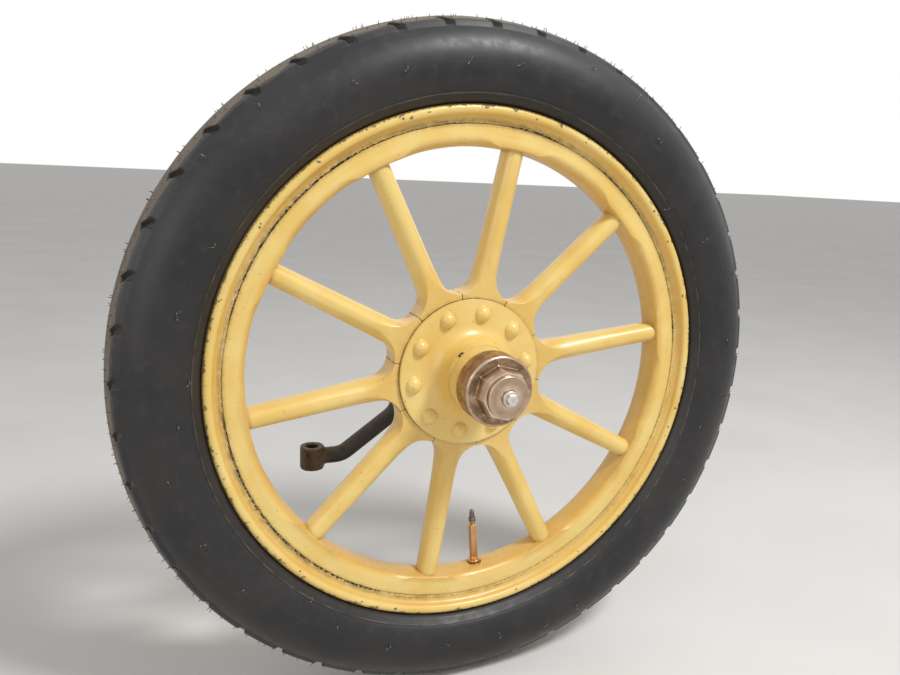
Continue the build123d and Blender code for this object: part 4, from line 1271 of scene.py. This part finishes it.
# %% One spoke
CORNER_STEPS = 11
corner_turn = np.linspace(0, pi / 2, CORNER_STEPS + 1)[None, :]
power = 2 / fullness[:, None]
corner_z = flat[:, None] + (half_width - flat)[:, None] * np.cos(corner_turn) ** power
corner_drop = depth[:, None] * (1 - np.sin(corner_turn) ** power)
front_y, rear_y = front[:, None] - corner_drop, rear[:, None] + corner_drop
loop_z = np.concatenate([corner_z, -corner_z[:, ::-1], -corner_z, corner_z[:, ::-1]], 1)
loop_offset = np.concatenate([front_y, front_y[:, ::-1], rear_y, rear_y[:, ::-1]], 1)
ring_angle = np.arctan2(loop_offset[-1] - (front[-1] + rear[-1]) / 2, loop_z[-1])
tenon_z = TENON_R * np.cos(ring_angle)[None, :] * np.ones((2, 1))
tenon_offset = (front[-1] + rear[-1]) / 2 + TENON_R * np.sin(ring_angle)[None, :] * np.ones((2, 1))
all_x = np.concatenate([spoke_x, [TIP_X, TENON_END]])[:, None]
all_z, all_offset = np.concatenate([loop_z, tenon_z]), np.concatenate([loop_offset, tenon_offset])
all_x = all_x * np.ones_like(all_z)
spoke_grid = MM * np.stack([all_x, WHEEL_Y - all_offset, all_z], -1)
one_spoke = skin("one_spoke", spoke_grid, sharp=22)
report(one_spoke)

# %% Grain and mitre marks on the spoke
GRAIN_SQUEEZE = 16.0
wood_grain = np.stack([all_x / GRAIN_SQUEEZE, all_offset, all_z], -1).reshape(-1, 3)
wood_grain = np.concatenate([wood_grain, wood_grain[:2]])
store(one_spoke.data, "grain", wood_grain, "FLOAT_VECTOR")
to_mitre = all_x * tan(half_bay) - np.abs(all_z)
mitre_mask = smoothstep(to_mitre, 0.9, 0.2) * (all_x < notch_x + 0.4)
store(one_spoke.data, "mitre", np.concatenate([mitre_mask.ravel(), [0, 0]]))
print("points beside a mitre:", int((mitre_mask > 0).sum()))

# %% Copies round the spindle
bench, given, end = geometry_tree(
    "Copies Round The Spindle",
    [("Count", "NodeSocketInt"), ("First Angle", FLOAT), ("Finish", "NodeSocketMaterial")],
)
points = bench.put("GeometryNodePoints", {"Count": given["Count"]}).outputs[0]
number = bench.put("GeometryNodeInputIndex").outputs[0]
pitch_turn = bench.math("DIVIDE", 2 * pi, given["Count"])
turn_here = bench.plus(bench.times(number, pitch_turn), given["First Angle"])
backwards = bench.times(turn_here, -1.0)
euler = bench.put("ShaderNodeCombineXYZ", {"Y": backwards}).outputs[0]
rotation = bench.put("FunctionNodeEulerToRotation", {"Euler": euler}).outputs[0]
numbered = {"Geometry": points, "Name": "copy", "Value": number}
numbered = bench.put("GeometryNodeStoreNamedAttribute", numbered, data_type="FLOAT", domain="POINT")
copies = {"Points": numbered.outputs[0], "Instance": given["Geometry"], "Rotation": rotation}
copies = bench.put("GeometryNodeInstanceOnPoints", copies).outputs[0]
ring_tree = make_real(bench, copies, given["Finish"], end)


def ring_of(piece, material, name):
    values = {"Count": SPOKE_COUNT, "First Angle": FIRST_SPOKE, "Finish": material}
    return grown(piece, ring_tree, values, name)


wheel_spokes = ring_of(one_spoke, spoke_paint, "wheel_spokes")

# %% [markdown]
# ## Hub, flanges and bolts
# The hub shell is turned in one piece: a front flange on the spoke feet, a big fillet, a barrel with
# a fine step, and a nose that carries the cap. A loose plate closes the feet from behind, and ten
# round-head bolts pull the two together. The shell and plate are turned on the grid, and bolts and
# nuts are made once and copied with the same tree as the spokes.

# %% Hub shell
NOSE_R, BARREL_R, FLANGE_FILLET = 40.7, 42.5, 21.0
THREAD_R, THREAD_END, NOSE_BORE_R, NOSE_BORE_END = 37.6, 90.0, 31.5, 68.0
OUTER_BUSH_R, OUTER_BUSH_END, INNER_BUSH_R, INNER_BUSH_START = 19.05, 42.0, 24.05, -26.0
HUB_BORE_R, HUB_BARREL_R, REAR_BARREL_R = 27.0, 41.0, 34.0
REAR_PLATE_FRONT, REAR_PLATE_BACK, HUB_BACK = -21.1, -26.1, -58.0
fillet_arc = arc((BARREL_R + FLANGE_FILLET, FLANGE_FRONT + FLANGE_FILLET), FLANGE_FILLET, -90, -180, 20)
hub_section = rounded(
    [
        (HUB_BARREL_R, FLANGE_BACK, 0),
        (FLANGE_R, FLANGE_BACK, 0.3),
        (FLANGE_R, FLANGE_FRONT, 0.9),
        (76, FLANGE_FRONT, 0),
        *[(*point, 0) for point in fillet_arc],
        (BARREL_R, NOSE_STEP_OFFSET, 0.7),
        (NOSE_R, NOSE_STEP_OFFSET + 0.1, 0.5),
        (NOSE_R, CAP_BACK, 0.4),
        (THREAD_R, CAP_BACK, 0),
        (THREAD_R, THREAD_END, 0.6),
        (NOSE_BORE_R, THREAD_END, 0.6),
        (NOSE_BORE_R, NOSE_BORE_END, 0),
        (OUTER_BUSH_R, NOSE_BORE_END, 0),
        (OUTER_BUSH_R, OUTER_BUSH_END, 0),
        (HUB_BORE_R, OUTER_BUSH_END, 0),
        (HUB_BORE_R, INNER_BUSH_START, 0),
        (INNER_BUSH_R, INNER_BUSH_START, 0),
        (INNER_BUSH_R, HUB_BACK, 0.4),
        (REAR_BARREL_R, HUB_BACK, 1.2),
        (REAR_BARREL_R, REAR_PLATE_BACK, 0),
        (HUB_BARREL_R, REAR_PLATE_BACK, 0.6),
    ],
    4,
)
hub_shell = turned("hub_and_front_flange", hub_section, 240, loop=True)
coat(hub_shell, hub_paint)

# %% Rear flange plate
PLATE_BORE_R = HUB_BARREL_R + 0.2
rear_line = rounded(
    [
        (PLATE_BORE_R, REAR_PLATE_FRONT, 0),
        (FLANGE_R, REAR_PLATE_FRONT, 0.4),
        (FLANGE_R, REAR_PLATE_BACK, 1.2),
        (PLATE_BORE_R, REAR_PLATE_BACK, 0.8),
    ],
    4,
)
rear_plate = turned("rear_flange_plate", rear_line, 240, loop=True)
coat(rear_plate, hub_paint)

# %% Bolts
BOLT_CIRCLE, BOLT_R, HEAD_R, HEAD_HEIGHT = 74.0, 5.0, 10.0, 7.6
BOLT_END = -36.6
BOLT = Lathe((BOLT_CIRCLE, WHEEL_Y, 0), (0, -1, 0), (1, 0, 0))
dome_r = (HEAD_R**2 + HEAD_HEIGHT**2) / (2 * HEAD_HEIGHT)
dome_start = np.degrees(asin(HEAD_R / dome_r))
dome = arc((0, FLANGE_FRONT + HEAD_HEIGHT - dome_r), dome_r, 90 - dome_start, 84, 16)
bolt_line = np.array([
    (BOLT_R - 0.8, BOLT_END),
    (BOLT_R, BOLT_END + 0.8),
    (BOLT_R, FLANGE_FRONT),
    (HEAD_R + 0.7, FLANGE_FRONT - 0.05),
    (HEAD_R + 0.3, FLANGE_FRONT + 0.25),
    *dome,
    (0.8, FLANGE_FRONT + HEAD_HEIGHT + 0.05),
    (0.5, FLANGE_FRONT + HEAD_HEIGHT + 0.3),
])
one_bolt = turned("one_bolt", bolt_line, 40, lathe=BOLT, sharp=40)
flange_bolts = ring_of(one_bolt, hub_paint, "flange_bolts")


# %% Nuts of the bolts
def polygon_radius(angle, sides, flats, turn=0.0):
    """Radius of a regular polygon at an angle, from its width across flats."""
    wedge = 2 * pi / sides
    return flats / 2 / np.cos((angle - turn + wedge / 2) % wedge - wedge / 2)


def nut_grid(lathe, flats, bore, low, high, turn, chamfer, columns=96):
    """Points of a nut with its corners turned down at both ends."""
    around = turn_angles(columns)[None, :]
    corners = polygon_radius(around, 6, flats, turn)
    turned_down = np.minimum(corners, flats / 2 + 0.35 * chamfer)
    hole = bore * np.ones_like(corners)
    radius = np.concatenate([hole, turned_down, corners, corners, turned_down, hole])
    height = np.array([low, low, low + chamfer, high - chamfer, high, high])
    return lathe.points(radius, around, height[:, None])


nut_points = nut_grid(BOLT, 17.0, BOLT_R, REAR_PLATE_BACK - 8.0, REAR_PLATE_BACK, pi / 6, 1.2)
one_nut = skin("one_nut", nut_points, True, 25)
flange_nuts = ring_of(one_nut, hub_paint, "flange_bolt_nuts")

# %% [markdown]
# ## Hub cap and grease plug
# The cap is a bronze casting, turned all over except for the octagon that a spanner holds. Turned
# part and octagon could be two meshes pushed together, but then there is no real corner between
# them. One grid makes both: its rows are round where the lathe worked, and follow a polygon where
# the octagon is.

# %% Rows that are round or sided
def sided_rows(rows, lathe, columns, polygon_turn):
    """A grid from rows of (radius or width across flats, sides, offset). Sides 0 is round."""
    around = turn_angles(columns)[None, :]
    radius = []
    for size, sides, _ in rows:
        round_row = size * np.ones_like(around)
        radius.append(polygon_radius(around, sides, size, polygon_turn) if sides else round_row)
    height = np.array([offset for *_, offset in rows])
    return lathe.points(np.concatenate(radius), around, height[:, None])


# %% Hub cap
CAP_FRONT, OCTAGON_END, BOSS_END = 101.0, 119.0, 125.2
CAP_R, CAP_BORE_R, CAP_THREAD_END, BOSS_R = 41.5, 37.8, 95.0, 24.5
HALF_SIDE_DEGREES = 22.5
OCTAGON_TURN = radians(7.6 + HALF_SIDE_DEGREES)
CAP_COLUMNS = 320
cup = rounded(
    [
        (CAP_BORE_R, CAP_BACK, 0),
        (CAP_R, CAP_BACK, 0.8),
        (CAP_R, CAP_FRONT, 3.2),
        (31.5, CAP_FRONT, 0),
    ],
    6,
)
boss = rounded(
    [
        (BOSS_R + 0.4, OCTAGON_END, 0),
        (BOSS_R, OCTAGON_END + 0.2, 0),
        (BOSS_R, BOSS_END, 0.9),
        (9.0, BOSS_END, 0),
    ],
    4,
)
cap_rows = [
    (CAP_BORE_R, 0, CAP_THREAD_END),
    *[(radius, 0, offset) for radius, offset in cup[:-1]],
    (33.0, 0, CAP_FRONT - 0.1),
    (58.6, 8, CAP_FRONT),
    (57.2, 8, CAP_FRONT + 0.5),
    (56.6, 8, CAP_FRONT + 1.6),
    (52.9, 8, OCTAGON_END - 1.0),
    (52.2, 8, OCTAGON_END - 0.25),
    (51.2, 8, OCTAGON_END),
    *[(radius, 0, offset) for radius, offset in boss[:-1]],
    (18.0, 0, BOSS_END),
    (10.2, 0, BOSS_END),
    (9.3, 0, BOSS_END - 0.3),
    (8.0, 0, BOSS_END - 0.4),
]
hub_cap = skin("turned_hub_cap", sided_rows(cap_rows, SPINDLE, CAP_COLUMNS, OCTAGON_TURN), sharp=28)
mark_edges(hub_cap, 1)
coat(hub_cap, cap_bronze)

# %% Grease plug
COLLAR_END, HEXAGON_END = 129.6, 133.8
plug_rows = [
    (8.4, 0, BOSS_END - 0.3),
    (9.0, 0, BOSS_END + 0.3),
    (9.0, 0, COLLAR_END - 1.4),
    (8.7, 0, COLLAR_END - 0.7),
    (8.0, 0, COLLAR_END - 0.2),
    (7.2, 0, COLLAR_END),
    (12.6, 6, COLLAR_END),
    (12.1, 6, COLLAR_END + 0.3),
    (12.0, 6, HEXAGON_END - 0.9),
    (11.5, 6, HEXAGON_END - 0.3),
    (10.6, 6, HEXAGON_END),
]
grease_plug = skin("grease_plug", sided_rows(plug_rows, SPINDLE, CAP_COLUMNS, OCTAGON_TURN), sharp=28)
mark_edges(grease_plug, 1)
coat(grease_plug, bright_steel)

# %% [markdown]
# ## Valve
# The valve passes through rim and felloe near the bottom of the wheel: an eight-sided brass stem,
# a double collar in a pocket of the felloe, a thin neck and a dull tapered cap. All are turned about
# the valve's own axis, which points from the hub to the tyre, so every place below is a distance
# from the spindle.

# %% Valve stem
NECK_START, SHOULDER_R, STEM_SQUARE_END, STEM_END = 208.4, 213.0, 258.6, 295.8
STEM_R = 5.6
stem_rows = [
    (2.2, 0, NECK_START),
    (3.4, 0, NECK_START),
    (3.4, 0, NECK_START + 1.0),
    (3.0, 0, NECK_START + 1.4),
    (3.0, 0, SHOULDER_R - 0.6),
    (3.6, 0, SHOULDER_R),
    (9.0, 8, SHOULDER_R),
    (10.2, 8, SHOULDER_R + 0.9),
    (10.3, 8, STEM_SQUARE_END - 1.0),
    (9.8, 8, STEM_SQUARE_END),
    (5.2, 0, STEM_SQUARE_END + 0.8),
    (STEM_R, 0, STEM_SQUARE_END + 1.4),
    (STEM_R, 0, STEM_END),
]
stem_grid = sided_rows(stem_rows, VALVE, 48, radians(HALF_SIDE_DEGREES))
valve_stem = skin("valve_stem_brass", stem_grid, sharp=25)
coat(valve_stem, valve_brass)

# %% Valve collar
COLLAR_TOP, COLLAR_WAIST, COLLAR_FOOT = 263.4, 267.1, 276.0
collar_line = rounded(
    [
        (STEM_R, COLLAR_TOP, 0),
        (8.0, COLLAR_TOP, 0.9),
        (8.0, COLLAR_WAIST - 0.5, 0.8),
        (6.9, COLLAR_WAIST, 0.3),
        (8.6, COLLAR_WAIST + 0.7, 0.7),
        (8.6, 271.4, 0.8),
        (7.4, 272.2, 0.3),
        (8.3, 273.0, 0.5),
        (8.3, COLLAR_FOOT, 0),
        (STEM_R, COLLAR_FOOT, 0),
    ],
    4,
)
valve_collar = turned("valve_collar_rings", collar_line, 48, loop=True, lathe=VALVE, sharp=40)
coat(valve_collar, valve_brass)

# %% Valve cap, and the edges of all three
VALVE_TIP, CAP_SHOULDER = 192.55, 203.0
cap_line = rounded(
    [
        (0.6, VALVE_TIP, 0),
        (2.6, VALVE_TIP, 0.6),
        (3.6, CAP_SHOULDER, 0.2),
        (4.6, CAP_SHOULDER + 0.2, 0.5),
        (4.6, NECK_START, 0.6),
        (3.0, NECK_START, 0),
    ],
    4,
)
valve_cap = turned("valve_dust_cap", cap_line, 36, lathe=VALVE, sharp=40)
coat(valve_cap, dull_grey)
for piece in (valve_stem, valve_collar, valve_cap):
    mark_edges(piece, 1)

# %% [markdown]
# ## Stub axle and steering arm
# Both are drop forgings: their corners are full and soft, and their skin is a little uneven. The
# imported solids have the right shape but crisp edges. A copy of each is merged, remeshed into small
# even cells and relaxed, which melts edges the way a forging die does and changes no size.

# %% Forgings
FORGING_CELL = 1.5 * MM
RELAX_PASSES = 3


def forged(node, name, material):
    """A soft-edged copy of a node's solid, as its own piece."""
    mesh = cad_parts[node].data.copy()
    piece = add_object(name, mesh)
    work = bmesh.new()
    work.from_mesh(mesh)
    bmesh.ops.remove_doubles(work, verts=work.verts, dist=0.01 * MM)
    work.to_mesh(mesh)
    work.free()
    cells = piece.modifiers.new("cells", "REMESH")
    cells.mode = "VOXEL"
    cells.voxel_size = FORGING_CELL
    relax = piece.modifiers.new("relax", "SMOOTH")
    relax.factor = 0.5
    relax.iterations = RELAX_PASSES
    graph = bpy.context.evaluated_depsgraph_get()
    soft = bpy.data.meshes.new_from_object(piece.evaluated_get(graph), depsgraph=graph)
    piece.modifiers.clear()
    piece.data = soft
    soft.name = name
    soft.shade_smooth()
    mark_edges(piece)
    coat(piece, material)
    return piece


stub_forging = forged("stub_axle", "stub_axle_forging", black_forging)
arm_forging = forged("steering_arm", "steering_arm_forging", black_forging)

# %% [markdown]
# ## Pieces that stay as packed
# Bushes, washers and nuts are plain machined rings and hexagons, and most of them are hidden in the
# hub. Their solids are already right, so they only get a finish.

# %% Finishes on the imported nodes
KEPT_NODES = {
    "hub_bush_inner": bearing_bronze,
    "hub_bush_outer": bearing_bronze,
    "thrust_washer": bearing_bronze,
    "kingpin_bush": bearing_bronze,
    "retaining_washer": plain_steel,
    "retaining_nut": plain_steel,
    "steering_arm_nut": plain_steel,
}
for node, material in KEPT_NODES.items():
    coat(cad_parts[node], material)
print("packed nodes that stay:", len(KEPT_NODES))

# %% [markdown]
# ## What rides on what
# Everything that turns rides on the wheel's body, and the forgings ride on the knuckle. Each new
# piece says which nodes it stands for and which slot of the record its finish belongs to.

# %% Bodies, nodes and slots
SPOKE_NODES = [f"spoke_{number:02d}" for number in range(1, SPOKE_COUNT + 1)]
PIECES = (
    (tyre_cover, "wheel", "tyre_rubber", ["tyre"]),
    (vent_hairs, "wheel", "tyre_rubber", []),
    (clincher_rim, "wheel", "rim_paint", ["rim"]),
    (felloe_ring, "wheel", "wood_paint", ["felloe_front_half", "felloe_rear_half"]),
    (wheel_spokes, "wheel", "wood_paint", SPOKE_NODES),
    (hub_shell, "wheel", "hub_paint", ["hub_shell"]),
    (rear_plate, "wheel", "hub_paint", ["hub_rear_flange"]),
    (flange_bolts, "wheel", "hub_paint", ["hub_bolts"]),
    (flange_nuts, "wheel", "hub_paint", ["hub_bolt_nuts"]),
    (hub_cap, "wheel", "cap_bronze", ["hub_cap"]),
    (grease_plug, "wheel", "bright_steel", ["cap_plug"]),
    (valve_stem, "wheel", "valve_brass", ["valve_stem"]),
    (valve_collar, "wheel", "valve_brass", ["valve_collar"]),
    (valve_cap, "wheel", "valve_cap_grey", ["valve_cap"]),
    (stub_forging, "knuckle", "black_forging", ["stub_axle"]),
    (arm_forging, "knuckle", "black_forging", ["steering_arm"]),
)
for piece, body, slot, nodes in PIECES:
    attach(piece, body)
    if nodes:
        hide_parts(*nodes)
print("new pieces:", len(PIECES))

# %% [markdown]
# ## Floor, light and camera
# The wheel stands on a plain pale floor in soft light. A large lamp high on the right stands in for
# the sun of the photograph, and the world fills the shadows. The background is white because camera
# and mirror rays see a white world, while the light that reaches the wheel stays at a plain level.

# %% Floor
FLOOR_HALF = 60.0
floor_z = TYRE_LOW.z
floor_mesh = bpy.data.meshes.new("floor")
floor_corners = [(x * FLOOR_HALF, y * FLOOR_HALF) for x, y in ((-1, -1), (1, -1), (1, 1), (-1, 1))]
floor_mesh.from_pydata([(x, y, floor_z) for x, y in floor_corners], [], [(0, 1, 2, 3)])
floor = add_object("floor", floor_mesh)


def floor_recipe(work):
    spot = work.put("ShaderNodeTexCoord").outputs["Object"]
    cloud = work.noise(spot, 3.0, 3)
    colour = work.tint(work.ease(cloud, 0.3, 0.7), tone(232, 230, 226), tone(238, 236, 233))
    return {"Base Color": colour, "Roughness": work.ease(cloud, 0.3, 0.7, 0.85, 0.95)}


floor_mesh.materials.append(finish_material("pale_floor", floor_recipe))

# %% World
WORLD_LIGHT = 0.42
world = bpy.data.worlds.new("soft_studio")
bpy.context.scene.world = world
world.use_nodes = True
world.node_tree.nodes.clear()
bench = Bench(world.node_tree)
path = bench.put("ShaderNodeLightPath").outputs
seen = bench.most(path["Is Camera Ray"], path["Is Glossy Ray"], path["Is Transmission Ray"])
strength = bench.plus(WORLD_LIGHT, bench.times(seen, 1.0 - WORLD_LIGHT))
sky = bench.put("ShaderNodeBackground", {"Color": (1, 1, 1, 1), "Strength": strength}).outputs[0]
bench.put("ShaderNodeOutputWorld", {"Surface": sky})
print("light that the world gives the wheel:", WORLD_LIGHT)


# %% Lamps
def soft_lamp(name, place, size, power):
    """A round lamp, size in metres and power in watts, that looks at the wheel's middle."""
    light = bpy.data.lights.new(name, "AREA")
    light.shape = "DISK"
    light.size = size
    light.energy = power
    lamp = add_object(name, light)
    lamp.location = place
    lamp.rotation_mode = "QUATERNION"
    lamp.rotation_quaternion = (Vector(place) - Vector((0, WHEEL_Y * MM, 0))).to_track_quat("Z", "Y")
    print("lamp:", name, power, "W")


soft_lamp("sun_side", (0.9, -1.5, 2.2), 0.6, 54)
soft_lamp("left_fill", (-2.2, -1.6, 0.7), 1.6, 10)

# %% Camera
CAMERA_PLACE = Vector((-0.3542, -0.9267, 0.2354))
CAMERA_TARGET = Vector((-0.02254, -0.112, 0.0411))
CAMERA_ROLL, CAMERA_LENS, SENSOR_WIDTH = radians(2.63), 29.547, 36.0
camera_data = bpy.data.cameras.new("photo_view")
camera_data.lens = CAMERA_LENS
camera_data.sensor_width = SENSOR_WIDTH
camera = add_object("photo_view", camera_data)
camera.location = CAMERA_PLACE
camera.rotation_mode = "QUATERNION"
looking = (CAMERA_TARGET - CAMERA_PLACE).to_track_quat("-Z", "Y")
camera.rotation_quaternion = looking @ Quaternion((0, 0, 1), CAMERA_ROLL)
bpy.context.scene.camera = camera
bpy.context.scene.view_settings.view_transform = "Standard"
print("camera up:", [round(v, 4) for v in camera.rotation_quaternion @ Vector((0, 1, 0))])
